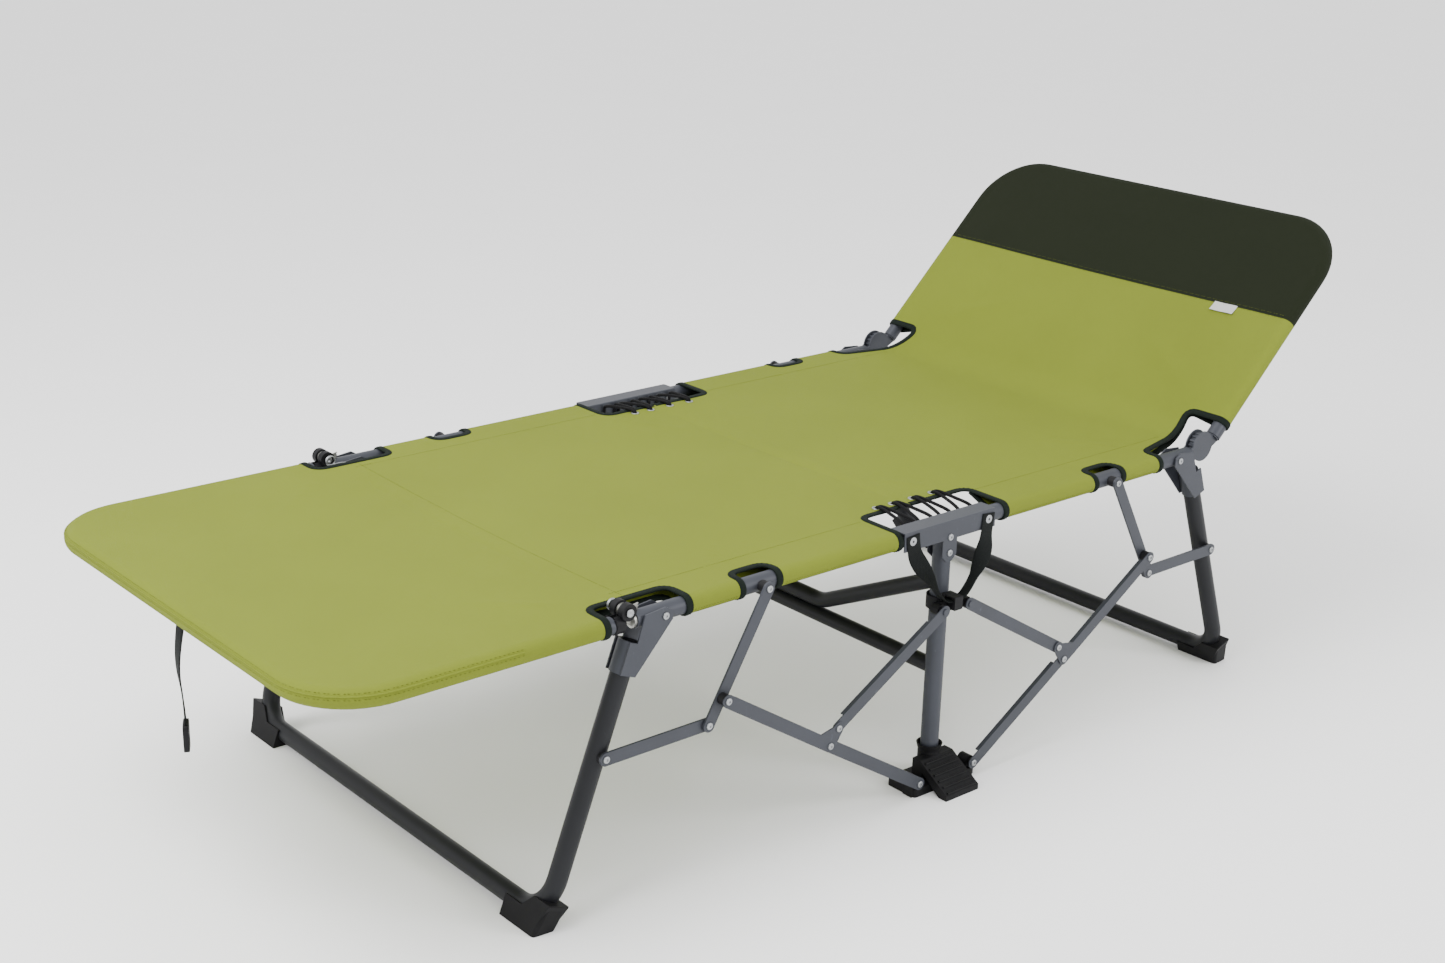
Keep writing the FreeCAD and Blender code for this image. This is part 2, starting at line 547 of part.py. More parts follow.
def frame_cloth(points, start, notch, depth):
    """The cover of an end section, before it is tilted: sheet, sleeve and notches.

    It lies level at the rail height and runs from its start towards the end bar."""
    end = 1 if points[1].x > points[0].x else -1
    wire = path(points, FRAME_BEND)
    ring = sweep(wire, CLOTH_OUT).cut(sweep(wire, CLOTH_IN))
    flat = [V(end * start, p.y, p.z) if i in (0, 3) else p for i, p in enumerate(points)]
    outline = path(flat, FRAME_BEND)
    z = points[0].z
    closed = Part.Wire(outline.Edges + [Part.makeLine(flat[3], flat[0])])
    sheet = Part.Face(closed)
    sheet.translate(V(0, 0, CLOTH_IN))
    body = ring.fuse(sheet.extrude(V(0, 0, CLOTH)))
    for s in (-1, 1):
        body = body.cut(side_box(s, end * (start - 60), end * notch, -depth, CLOTH_OUT + 1, z - 30, z + 30))
    return body.removeSplitter()


foot_wire = path(foot_points(), FRAME_BEND)
parts["hinge_plates_foot"] = both(hinge_plate)
parts["knuckles_foot"] = both(knuckle)
parts["frame_foot_end"] = pipe(foot_wire, RAIL_R)
parts["cover_foot_end"] = frame_cloth(
    foot_points(), FOOT_HINGE_X + HINGE_CLEAR, FOOT_NOTCH[1] + 2, FOOT_NOTCH[2])
strap_line = [(x - FOOT_END, z + RAIL_Z) for x, z in BUCKLE_STRAP]
parts["buckle_strap"] = ribbon(strap_line, BUCKLE_STRAP_BENDS, 0, BUCKLE_STRAP_W, BUCKLE_STRAP_T)
strap_end = strap_line[-1]
buckle = box(strap_end[0] - BUCKLE_T / 2, strap_end[0] + BUCKLE_T / 2, -BUCKLE_STRAP_W / 2 - 4,
             BUCKLE_STRAP_W / 2 + 4, strap_end[1] - BUCKLE_L, strap_end[1])
parts["buckle"] = buckle.makeFillet(2.0, [e for e in buckle.Edges if e.BoundBox.ZLength > BUCKLE_L / 2])


# ---------------------------------------------------------------- head hinge and head section
def ratchet(side):
    """The fixed half of the head hinge: twin discs with necks riveted in the rail."""
    stop = RAIL_STOP[1]
    body = Part.makeCylinder(PLUG_R, STUB_L + 6, at(1, side, (stop - STUB_L, RAIL_Z)), V(1, 0, 0))
    for face in (-1, 1):
        inner, outer = face * 5.5, face * (5.5 + PLATE)
        neck = plate(1, side, [(stop + GAP, RAIL_Z - 8.5), (stop + GAP, RAIL_Z + 8.5),
                               (HEAD_HINGE_X - 10, RAIL_Z + 20), (HEAD_HINGE_X, RAIL_Z - 9)], inner, outer)
        disc = rod(1, side, HEAD_HINGE, DISC_R, inner, outer)
        body = body.fuse([neck, disc])
    gap = rod(1, side, HEAD_HINGE, DISC_R + 1.5, -5.5, 5.5)
    body = body.cut(gap).cut(rod(1, side, HEAD_HINGE, 5.0 + FIT, -20, 20))
    return body.removeSplitter()


def head_stub(side):
    """The moving half of the head hinge: a gear between the discs and a neck to the frame."""
    gear = rod(1, side, HEAD_HINGE, GEAR_R, -5.0, 5.0)
    for i in range(9):
        tooth = offset(HEAD_HINGE, SLOPE + math.radians(70 + 22 * i), GEAR_R)
        gear = gear.cut(rod(1, side, tooth, 2.2, -6, 6))
    start = offset(HEAD_BASE, SLOPE, DISC_R + 4)
    far = offset(start, SLOPE, 1.6)
    up = SLOPE + math.pi / 2
    neck = plate(1, side, [offset(HEAD_HINGE, up, 6), offset(far, up, 9), offset(far, up, -9),
                           offset(HEAD_HINGE, up, -GEAR_R + 2)], -5.0, 5.0)
    axis = V(math.cos(SLOPE), 0, math.sin(SLOPE))
    plug = Part.makeCylinder(PLUG_R, STUB_L, at(1, side, start), axis)
    pin = rod(1, side, HEAD_HINGE, 5.0, -5.5 - PLATE, 5.5 + PLATE)
    return gear.fuse([neck, plug, pin]).removeSplitter()


def head_points(z):
    """The head frame's path, laid level at a height, from over the hinge."""
    corners = [(DISC_R + 6, -1), (HEAD_LENGTH, -1), (HEAD_LENGTH, 1), (DISC_R + 6, 1)]
    return [V(HEAD_BASE[0] + x, s * RAIL_Y, z) for x, s in corners]


parts["ratchets_head"] = both(ratchet)
parts["stubs_head"] = both(head_stub)
head_flat = head_points(HEAD_BASE[1])
parts["frame_head_end"] = tilted(pipe(path(head_flat, FRAME_BEND), RAIL_R), 1, HEAD_BASE, SLOPE)
parts["cover_head_end"] = tilted(
    frame_cloth(head_flat, HEAD_BASE[0] + HINGE_CLEAR, HEAD_BASE[0] + HEAD_NOTCH_UP[0], HEAD_NOTCH_UP[1]),
    1, HEAD_BASE, SLOPE)


# ---------------------------------------------------------------- legs
def leg_points(end):
    top = offset(B_LEG, LEG_UP, LEG_TOP)
    return [at(end, -1, top), at(end, -1, LEG_BAR), at(end, 1, LEG_BAR), at(end, 1, top)]


def leg_frame(end):
    tube = pipe(path(leg_points(end), LEG_BEND), LEG_R)
    for s in (-1, 1):
        tube = tube.cut(rod(end, s, B_LEG, PIN_R + FIT, -LEG_R - 1, LEG_R + 1))
    return tube


def bracket(end, side):
    """The sheet-metal leg bracket: a half sleeve on the leg and two cheeks beside the rail."""
    low = offset(B_LEG, LEG_UP, BRACKET_LOW)
    high = offset(B_LEG, LEG_UP, LEG_TOP)
    out = LEG_UP - math.pi / 2
    edge = LEG_R + PLATE
    outline = [offset(low, out, edge - 3), offset(high, out, edge - 3), offset(high, out, 0),
               (LEG_X + 30, RAIL_Z + 8), (LEG_X, RAIL_Z + 11), (LEG_X - 10, RAIL_Z + 5),
               (LEG_X - 11, RAIL_Z - 6), offset(low, out, -edge + 3)]
    cheeks = [plate(end, side, outline, f * CHEEK_IN, f * (CHEEK_IN + PLATE)) for f in (-1, 1)]
    run = LEG_TOP - BRACKET_LOW
    axis = V(end * math.cos(LEG_UP), 0, math.sin(LEG_UP))
    sleeve = Part.makeCylinder(CHEEK_IN + PLATE, run, at(end, side, low), axis)
    body = cheeks[0].fuse([cheeks[1], sleeve])
    body = body.cut(Part.makeCylinder(CHEEK_IN, run + 40, at(end, side, offset(low, LEG_UP, -20)), axis))
    return body.cut(rod(end, side, LEG_PIVOT, PIN_R + FIT, -30, 30)).removeSplitter()


def boot(end, side):
    """The plastic foot: a cradle under the bend of the leg, cut level at the floor."""
    edge = LEG_R + BOOT_WALL
    y_out = RAIL_Y + edge
    y_in = RAIL_Y - BOOT_RUN
    rim = y_out + 1.5
    profile = [(y_in, -edge - 8), (y_out - BOOT_DRAFT, -edge - 8), (y_out - 1, BOOT_RISE - 7),
               (rim, BOOT_RISE - 2), (rim, BOOT_RISE), (RAIL_Y - 14, BOOT_RISE),
               (RAIL_Y - 32, BOOT_LIP), (y_in, BOOT_LIP)]
    x, z = LEG_BAR
    wire = Part.makePolygon([V(end * x - edge, side * y, z + v) for y, v in profile + [profile[0]]])
    block = Part.Face(wire).extrude(V(2 * edge, 0, 0))
    outer = [e for e in block.Edges if e.BoundBox.XLength < 0.1 and e.BoundBox.ZLength > 20
             and side * e.BoundBox.Center.y > RAIL_Y]
    block = block.makeFillet(BOOT_WALL * 2, outer)
    block = tilted(block, end, LEG_BAR, TILT)
    floor = box(end * x - 100, end * x + 100, side * (y_in - 50), side * (y_out + 50), -100, 0)
    return block.cut([sweep(path(leg_points(end), LEG_BEND), LEG_R + FIT), floor]).removeSplitter()


def leg_pins(end):
    return both(lambda s: rivet(end, s, B_LEG, PIN_R, -LEG_R - 2, B_OUT + STRIP + FIT))


for e, name in ((-1, "foot"), (1, "head")):
    parts[f"leg_{name}"] = leg_frame(e)
    parts[f"brackets_{name}"] = both(lambda s: bracket(e, s))
    parts[f"boots_{name}"] = both(lambda s: boot(e, s))
    parts[f"pins_{name}_leg"] = leg_pins(e)


# ---------------------------------------------------------------- links
def drilled(shape, end, side, holes):
    for p, r in holes:
        shape = shape.cut(rod(end, side, p, r, 0, 60))
    return shape


def link_a(end, side):
    shape = bar(end, side, A_TOP, A_FOOT, LINK_W, A_OUT, A_OUT + STRIP)
    return drilled(shape, end, side, [(A_TOP, PIN_R + FIT), (A_FOOT, PIN_R + FIT)])


def link_b(end, side):
    shape = bar(end, side, A_FOOT, B_LEG, LINK_W, B_OUT, B_OUT + STRIP)
    return drilled(shape, end, side, [(A_FOOT, PIN_R + GAP), (B_LEG, PIN_R + FIT)])


def link_d(end, side):
    """Collar to gusset, with its own rivet at the collar end."""
    shape = channel_bar(end, side, COLLAR_PIVOT, GUSSET_PIVOT, PRESSED_OUT, 28.0, 16.0)
    shape = drilled(shape, end, side, [(GUSSET_PIVOT, PIN_R + FIT)])
    head = rod(end, side, COLLAR_PIVOT, HEAD_R, PRESSED_OUT, PRESSED_OUT + HEAD_T)
    return shape.fuse(head).removeSplitter()


def link_f(end, side):
    shape = channel_bar(end, side, PEDAL_PIVOT, COUPLER_FOOT, PRESSED_OUT, 16.0, 16.0)
    return drilled(shape, end, side, [(PEDAL_PIVOT, PIN_R + FIT), (COUPLER_FOOT, PIN_R + FIT)])


def link_e(end, side):
    """The coupler, with a gusset ear over the ends of both inner links."""
    shape = channel_bar(end, side, COUPLER_FOOT, COUPLER_TOP, COUPLER_OUT, 20.0, 14.0)
    ear = bar(end, side, COUPLER_FOOT, GUSSET_PIVOT, LINK_W, COUPLER_OUT - SHEET, COUPLER_OUT)
    root = offset(COUPLER_FOOT, COUPLER_DIR, 34.0)
    web = plate(end, side, [offset(COUPLER_FOOT, COUPLER_DIR, -4.0), root,
                            offset(GUSSET_PIVOT, COUPLER_DIR, LINK_W / 2), GUSSET_PIVOT],
                COUPLER_OUT - SHEET, COUPLER_OUT)
    holes = [(p, PIN_R) for p in (COUPLER_FOOT, GUSSET_PIVOT, COUPLER_TOP)]
    return drilled(shape.fuse([ear, web]), end, side, holes).removeSplitter()


def coupler_pins(end):
    shapes = []
    for s in (-1, 1):
        for p in (COUPLER_FOOT, GUSSET_PIVOT):
            shapes.append(rivet(end, s, p, PIN_R, PRESSED_OUT - SHEET - 2, COUPLER_OUT))
        shapes.append(rivet(end, s, COUPLER_TOP, PIN_R, COUPLER_OUT - FLANGE, COUPLER_OUT))
    return Part.makeCompound(shapes)


A_FACE = A_OUT + STRIP
for e, name in ((-1, "foot"), (1, "head")):
    for letter, make in (("a", link_a), ("b", link_b), ("d", link_d), ("e", link_e), ("f", link_f)):
        parts[f"link_{letter}_{name}"] = both(lambda s: make(e, s))
    parts[f"pins_a_{name}"] = both(lambda s: rivet(e, s, A_FOOT, PIN_R, B_OUT - 1.5, A_FACE))
    parts[f"pins_e_{name}"] = coupler_pins(e)
    parts[f"spacers_b_{name}"] = spacers(e, B_LEG, LEG_R + 0.1, B_OUT, PIN_R + FIT)
    parts[f"spacers_e_{name}"] = spacers(e, COUPLER_TOP, A_FACE + GAP, COUPLER_OUT - SHEET, PIN_R)

# ---------------------------------------------------------------- centre and write
os.makedirs("parts", exist_ok=True)
everything = Part.makeCompound(list(parts.values())).optimalBoundingBox(False, False)
shift = V(-everything.Center.x, 0, 0)
print(f"box {everything.XLength:.1f} x {everything.YLength:.1f} x {everything.ZLength:.1f}")
print(f"low {everything.ZMin:.2f}")
print(f"shift along X {shift.x:.2f}")
for name, shape in parts.items():
    shape.translate(shift)
    if not shape.isValid() or shape.Volume <= 0:
        raise ValueError(f"{name} is not a valid solid")
    shape.exportStep(f"parts/{name}.step")
print(f"{len(parts)} parts")
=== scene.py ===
"""Folding cot: cloth, bindings, webbing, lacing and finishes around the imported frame."""

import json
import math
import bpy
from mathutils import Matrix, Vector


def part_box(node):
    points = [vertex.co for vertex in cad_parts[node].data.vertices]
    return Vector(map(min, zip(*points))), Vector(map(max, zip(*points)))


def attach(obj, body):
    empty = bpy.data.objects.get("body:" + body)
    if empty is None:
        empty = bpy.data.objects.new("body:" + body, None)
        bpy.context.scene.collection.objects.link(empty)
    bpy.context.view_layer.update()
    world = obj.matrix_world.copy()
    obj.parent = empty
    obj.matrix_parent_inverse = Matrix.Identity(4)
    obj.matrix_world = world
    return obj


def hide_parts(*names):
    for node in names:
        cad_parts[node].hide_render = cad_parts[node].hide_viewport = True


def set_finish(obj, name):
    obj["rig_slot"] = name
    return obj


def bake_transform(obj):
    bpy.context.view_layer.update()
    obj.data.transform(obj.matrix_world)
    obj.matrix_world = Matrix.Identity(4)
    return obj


bl_info = {
    "name": "Folding Cot",
    "version": (1, 0, 0),
    "blender": (4, 5, 0),
    "location": "View3D > Sidebar > Cot",
    "description": "Builds the cover, straps and finishes of a folding cot around its frame",
    "category": "Object",
}

import bpy
import numpy as np
from bpy.props import FloatProperty, FloatVectorProperty, IntProperty, PointerProperty
from mathutils import Matrix, Vector, noise

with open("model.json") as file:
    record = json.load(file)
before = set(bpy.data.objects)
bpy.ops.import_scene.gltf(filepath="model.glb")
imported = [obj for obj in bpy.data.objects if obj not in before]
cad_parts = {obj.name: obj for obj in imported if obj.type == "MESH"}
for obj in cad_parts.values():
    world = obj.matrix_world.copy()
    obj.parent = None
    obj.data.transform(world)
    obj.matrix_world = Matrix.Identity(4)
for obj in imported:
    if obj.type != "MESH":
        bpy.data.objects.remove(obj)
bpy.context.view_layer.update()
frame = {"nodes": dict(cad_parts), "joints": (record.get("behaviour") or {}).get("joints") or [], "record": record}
JOINTS = {j["name"]: j for j in frame["joints"]}


# ---- places read from the frame
def middle(node, axis):
    low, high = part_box(node)
    return (low[axis] + high[axis]) / 2


def half_size(node, axis):
    low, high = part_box(node)
    return (high[axis] - low[axis]) / 2


def widest(node, axis):
    """The farthest a node reaches from the middle of the bed."""
    low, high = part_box(node)
    return max(abs(low[axis]), abs(high[axis]))


RAIL_Y = widest("rail_foot_left", 1) - half_size("rail_foot_left", 1)
RAIL_Z = middle("rail_foot_left", 2)
RAIL_R = half_size("rail_foot_left", 1)
CENTRE_X = middle("centre_leg_left", 0)
PIVOT_X = JOINTS["head_rail_pivot"]["pos_m"][0] - CENTRE_X
LINK_X = JOINTS["head_link_a_pivot"]["pos_m"][0] - CENTRE_X
LEG_X = JOINTS["head_leg_pivot"]["pos_m"][0] - CENTRE_X
FOOT_HINGE = JOINTS["foot_section_fold"]["pos_m"]
HEAD_HINGE = JOINTS["head_recline"]["pos_m"]
HEAD_SLOPE = math.radians(44.0)
CHANNEL_OUT = half_size("channel_left", 1)

CLOTH_T = 0.0011
CLOTH_MID = 0.01215          # middle of the cloth from the axis of the tube inside it
CLOTH_Z = RAIL_Z + CLOTH_MID
SEAM = 0.056                 # sleeve seam, inwards from the tube axis
LOWER_DROP = 0.0016          # the sleeve's lower layer under the deck at the seam
CORNER = 0.085               # bend of the end frames, on the tube axis
SPLIT = 0.2                  # where the cover's pieces meet on each half
HEAD_OFFSET = 0.017          # hinge axis above the head frame's axis
BEND = 0.09                  # radius of the cover's turn into the head section

# the cover's line over the head hinge, in the side plane
_sin, _cos = math.sin(HEAD_SLOPE), math.cos(HEAD_SLOPE)
_base = (HEAD_HINGE[0] + HEAD_OFFSET * _sin, HEAD_HINGE[2] - HEAD_OFFSET * _cos)
_near = (_base[0] - CLOTH_MID * _sin, _base[1] + CLOTH_MID * _cos)
_run = (CLOTH_Z - _near[1]) / _sin
_tangent = BEND * math.tan(HEAD_SLOPE / 2)
BEND_X = _near[0] + _run * _cos - _tangent - CENTRE_X
BEND_END = BEND_X + BEND * HEAD_SLOPE
HEAD_LENGTH = (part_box("frame_head_end")[1][2] - RAIL_R - _base[1]) / _sin
HEAD_ZERO = BEND_END - _run - _tangent            # cover length at the foot of the hinge's perpendicular
HEAD_END = HEAD_ZERO + HEAD_LENGTH
FOOT_END = CENTRE_X - (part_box("frame_foot_end")[0][0] + RAIL_R)


def on_bed(x, y, h):
    """A point of the cover: x along it from the middle of the bed, y across, h above its middle layer."""
    if x <= BEND_X:
        return (CENTRE_X + x, y, CLOTH_Z + h)
    turn = min((x - BEND_X) / BEND, HEAD_SLOPE)
    past = max(x - BEND_END, 0.0)
    return (CENTRE_X + BEND_X + (BEND - h) * math.sin(turn) + past * math.cos(turn), y,
            CLOTH_Z + BEND - (BEND - h) * math.cos(turn) + past * math.sin(turn))


# ---- the sleeve's cross-section
_reach = math.hypot(SEAM, CLOTH_MID - LOWER_DROP)
_leave = math.atan2(CLOTH_MID - LOWER_DROP, -SEAM) + math.acos(CLOTH_MID / _reach)
ARC = math.pi / 2 - (_leave - 2 * math.pi)        # angle of cloth that touches the tube
ARC_END = CLOTH_MID * ARC
_stop = (CLOTH_MID * math.cos(_leave), CLOTH_MID * math.sin(_leave) - CLOTH_MID)
LOWER = math.hypot(_stop[0] + SEAM, _stop[1] + LOWER_DROP)
SLEEVE_END = ARC_END + LOWER


def sleeve(u):
    """Where the cloth is, u metres past the top of the tube: outwards, up, and its outer normal."""
    if u <= 0:
        return u, 0.0, 0.0, 1.0
    if u < ARC_END:
        a = math.pi / 2 - u / CLOTH_MID
        return CLOTH_MID * math.cos(a), CLOTH_MID * (math.sin(a) - 1), math.cos(a), math.sin(a)
    t = (u - ARC_END) / LOWER
    return (_stop[0] + (-SEAM - _stop[0]) * t, _stop[1] + (-LOWER_DROP - _stop[1]) * t,
            math.cos(_leave), math.sin(_leave))


def under(depth):
    """How far round the sleeve its lower layer reaches a depth inside the tube axis."""
    share = (-depth - _stop[0]) / (-SEAM - _stop[0])
    return ARC_END + LOWER * min(max(share, 0.0), 1.4)


def on_sleeve(x, u, side, off=0.0):
    """A point of the straight sleeves, off metres outside the cloth's middle layer."""
    out, h, n_out, n_up = sleeve(u)
    lift = ripple(x, side * (RAIL_Y + out)) if u <= 0 else 0.0
    return on_bed(x, side * (RAIL_Y + out + off * n_out), h + off * n_up + lift)


# creases of the stretched deck: start, end, half width, height
CREASES = (
    ((0.0, -0.27), (0.0, 0.27), 0.006, -0.0012),
    ((0.012, -0.27), (0.03, 0.10), 0.010, 0.0010),
    ((-0.10, -0.27), (-0.02, -0.16), 0.007, 0.0016),
    ((0.10, -0.27), (0.02, -0.14), 0.007, 0.0014),
    ((-0.10, 0.27), (-0.02, 0.15), 0.007, 0.0015),
    ((0.10, 0.27), (0.03, 0.12), 0.007, 0.0014),
    ((-0.36, -0.30), (-0.30, -0.22), 0.006, 0.0010),
    ((-0.56, -0.29), (-0.66, -0.20), 0.008, 0.0016),
    ((-0.56, 0.29), (-0.66, 0.20), 0.008, 0.0016),
    ((-0.45, -0.29), (-0.36, -0.20), 0.008, 0.0012),
    ((0.44, -0.29), (0.36, -0.18), 0.008, 0.0014),
    ((0.44, 0.29), (0.36, 0.18), 0.008, 0.0014),
    ((0.62, -0.26), (0.70, -0.12), 0.010, 0.0018),
    ((0.62, 0.26), (0.70, 0.12), 0.010, 0.0018),
    ((-0.53, -0.28), (-0.53, 0.28), 0.005, -0.0010),
)
SAG, SLACK, FINE_SLACK, PUCKER = 0.0042, 0.0012, 0.0005, 0.00035


def ripple(x, y):
    """Sag, slack and creases of the deck between its sleeves."""
    inner = RAIL_Y - SEAM
    t = max(1 - (abs(y) / inner) ** 2, 0.0)
    ends = max(min((x + FOOT_END - SEAM) / 0.12, (HEAD_END - SEAM - x) / 0.12, 1.0), 0.0)
    h = -SAG * t * ends
    h += SLACK * t * noise.noise(Vector((x * 7, y * 4, 1.7)))
    h += FINE_SLACK * min(t * 4, 1) * ends * noise.noise(Vector((x * 24, y * 13, 5.1)))
    pucker = math.exp(-((abs(y) - inner) / 0.011) ** 2)
    h += PUCKER * pucker * noise.noise(Vector((x * 95, 0.3, math.copysign(2.0, y))))
    for (x0, y0), (x1, y1), width, height in CREASES:
        run = (x1 - x0) ** 2 + (y1 - y0) ** 2
        share = ((x - x0) * (x1 - x0) + (y - y0) * (y1 - y0)) / run
        if 0 <= share <= 1:
            away = math.hypot(x - x0 - share * (x1 - x0), y - y0 - share * (y1 - y0))
            h += height * math.exp(-(away / width) ** 2) * math.sin(math.pi * share) ** 0.6 * min(t * 6, 1)
    return h


def on_deck(x, y, off=0.0):
    """A point of the flat deck, off metres above the cloth's middle layer."""
    return on_bed(x, y, ripple(x, y) + off)


# ---- notches of the cover
# from, to, depth at each end, on the unrolled sleeve
NOTCHES = {
    "foot_hinge": (-LEG_X - 0.078, -LEG_X + 0.035, 0.030, 0.030),
    "foot_link": (-LINK_X - 0.027, -LINK_X + 0.025, 0.016, 0.016),
    "centre": (-0.086, 0.106, 0.062, 0.062),
    "head_link": (LINK_X - 0.027, LINK_X + 0.024, 0.016, 0.016),
    "head_hinge": (LEG_X - 0.037, HEAD_ZERO + 0.049, 0.019, 0.052),
}


def rounded(corners, radius, step=0.004):
    """A closed outline with its corners rounded, as points at even steps."""
    rim = []
    for i, corner in enumerate(corners):
        a, c, b = Vector(corners[i - 1]), Vector(corner), Vector(corners[(i + 1) % len(corners)])
        to_a, to_b = (a - c).normalized(), (b - c).normalized()
        cut = min(radius, (a - c).length / 2.2, (b - c).length / 2.2)
        start, stop = c + to_a * cut, c + to_b * cut
        rim += [(1 - t) ** 2 * start + 2 * t * (1 - t) * c + t * t * stop
                for t in (0, 0.2, 0.4, 0.6, 0.8, 1)]
    even = []
    for p, q in zip(rim, rim[1:] + rim[:1]):
        count = max(int((q - p).length / step), 1)
        even += [p + (q - p) * (k / count) for k in range(count)]
    return even


NOTCH_ROUND = 0.013          # radius of a notch's corners
OUTLINES = {name: rounded([(x0, -d0), (x1, -d1), (x1, under(d1)), (x0, under(d0))], NOTCH_ROUND)
            for name, (x0, x1, d0, d1) in NOTCHES.items()}
EDGE_IN = 0.0035             # the cloth's raw edge inside its binding


def is_cut(x, u):
    """Whether a spot of the unrolled sleeve falls in a notch."""
    for outline in OUTLINES.values():
        near, inside = 1.0, False
        if not min(p.x for p in outline) - 0.01 < x < max(p.x for p in outline) + 0.01:
            continue
        for p, q in zip(outline, outline[1:] + outline[:1]):
            near = min(near, math.hypot(p.x - x, p.y - u))
            if (p.y > u) != (q.y > u) and x < (q.x - p.x) * (u - p.y) / (q.y - p.y) + p.x:
                inside = not inside
        if inside or near < EDGE_IN:
            return True
    return False


# ---- mesh helpers
def linked(name, data):
    """A new object of the scene that holds this data."""
    made = bpy.data.objects.new(name, data)
    bpy.context.scene.collection.objects.link(made)
    return made


def smooth(mesh):
    mesh.polygons.foreach_set("use_smooth", [True] * len(mesh.polygons))


def new_piece(name, shape, materials, slot, weave=None, which=None):
    """A smooth-shaded piece from (points, faces), with its cloth coordinates if it has any."""
    points, faces = shape
    mesh = bpy.data.meshes.new(name)
    mesh.from_pydata([tuple(p) for p in points], [], faces)
    for material in materials:
        mesh.materials.append(material)
    smooth(mesh)
    if which:
        mesh.polygons.foreach_set("material_index", which)
    if weave is not None:
        layer = mesh.attributes.new("weave", "FLOAT_VECTOR", "POINT")
        layer.data.foreach_set("vector", np.array([(a, b, 0.0) for a, b in weave], np.float32).ravel())
    mesh.validate()
    mesh.update()
    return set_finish(linked(name, mesh), slot)


def settled(piece):
    """Applies a piece's modifiers, or turns a curve into its mesh."""
    bpy.context.view_layer.update()
    graph = bpy.context.evaluated_depsgraph_get()
    mesh = bpy.data.meshes.new_from_object(piece.evaluated_get(graph), preserve_all_data_layers=True,
                                           depsgraph=graph)
    name, slot = piece.name, piece["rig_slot"]
    mesh.transform(piece.matrix_world)
    bpy.data.objects.remove(piece)
    smooth(mesh)
    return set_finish(linked(name, mesh), slot)


SHARP = math.radians(50)     # turn at which an edge of thick cloth stays sharp


def thickened(piece, thickness):
    solid = piece.modifiers.new("thickness", "SOLIDIFY")
    solid.thickness = thickness
    solid.offset = 0.0
    made = settled(piece)
    made.data.set_sharp_from_angle(angle=SHARP)
    return made


def loft(sections, ring=False):
    """Points and faces of a skin over equal closed sections: capped, or joined into a ring."""
    count = len(sections[0])
    points = [p for section in sections for p in section]
    faces = []
    for i in range(len(sections) if ring else len(sections) - 1):
        a, b = i * count, ((i + 1) % len(sections)) * count
        for j in range(count):
            k = (j + 1) % count
            faces.append((a + j, b + j, b + k, a + k))
    if not ring:
        faces.append(tuple(range(count)))
        faces.append(tuple(reversed(range(len(points) - count, len(points)))))
    return points, faces


def gathered(parts):
    """Several (points, faces) as one."""
    points, faces = [], []
    for some_points, some_faces in parts:
        base = len(points)
        points += some_points
        faces += [tuple(i + base for i in face) for face in some_faces]
    return points, faces


def add_spline(curve, points, steps):
    """Adds a smooth open curve with these control points."""
    spline = curve.splines.new("NURBS")
    spline.points.add(len(points) - 1)
    for spot, place in zip(spline.points, points):
        spot.co = (*place, 1.0)
    spline.order_u = 3
    spline.use_endpoint_u = True
    spline.resolution_u = steps


def line_piece(name, routes, radius, material, slot, rings):
    """Round cords or wires along smooth curves with these control points."""
    curve = bpy.data.curves.new(name, "CURVE")
    curve.dimensions = "3D"
    curve.bevel_depth = radius
    curve.bevel_resolution = rings
    curve.use_fill_caps = True
    for points in routes:
        add_spline(curve, points, 8)
    curve.materials.append(material)
    return settled(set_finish(linked(name, curve), slot))


def circle(sides):
    return [2 * math.pi * k / sides for k in range(sides)]


def axes(normal):
    """A direction and two more, all square to each other."""
    normal = Vector(normal).normalized()
    across = normal.orthogonal().normalized()
    return normal, across, normal.cross(across)


def ring_shape(centre, normal, outer, inner, height):
    """A rolled metal ring, as an eyelet's rim."""
    normal, across, along = axes(normal)
    mid, half = (outer + inner) / 2, (outer - inner) / 2
    sections = []
    for a in circle(28):
        out = across * math.cos(a) + along * math.sin(a)
        sections.append([Vector(centre) + out * (mid + half * math.cos(b)) + normal * (height * math.sin(b))
                         for b in circle(8)])
    return loft(sections, ring=True)


DIMPLED = ((1.0, 0.0), (0.97, 0.45), (0.82, 0.82), (0.6, 1.0), (0.42, 0.98), (0.3, 0.72), (0.05, 0.6))


def dome_shape(centre, normal, radius, height):
    """A low rivet head with a dimple in its middle."""
    normal, across, along = axes(normal)
    return loft([[Vector(centre) + (across * math.cos(a) + along * math.sin(a)) * (radius * share)
                  + normal * (height * up) for a in circle(24)] for share, up in DIMPLED])


STITCH_WIDE, STITCH_HIGH = 0.0007, 0.00045
STITCH_SHARE = 0.72          # of the pitch, the rest is the gap


def stitch_shape(p, q, normal):
    """One stitch of thread, lying from p to q on the cloth."""
    side = (q - p).normalized().cross(normal) * (STITCH_WIDE / 2)
    up = normal * STITCH_HIGH
    points = [p - up * 0.4, p + (q - p) * 0.2 + side, p + (q - p) * 0.2 - side, p + (q - p) * 0.22 + up,
              q + (p - q) * 0.2 + side, q + (p - q) * 0.2 - side, q + (p - q) * 0.22 + up, q - up * 0.4]
    return points, [(0, 1, 3), (0, 3, 2), (0, 2, 1), (1, 4, 6, 3), (2, 3, 6, 5), (1, 2, 5, 4),
                    (7, 6, 4), (7, 5, 6), (7, 4, 5)]


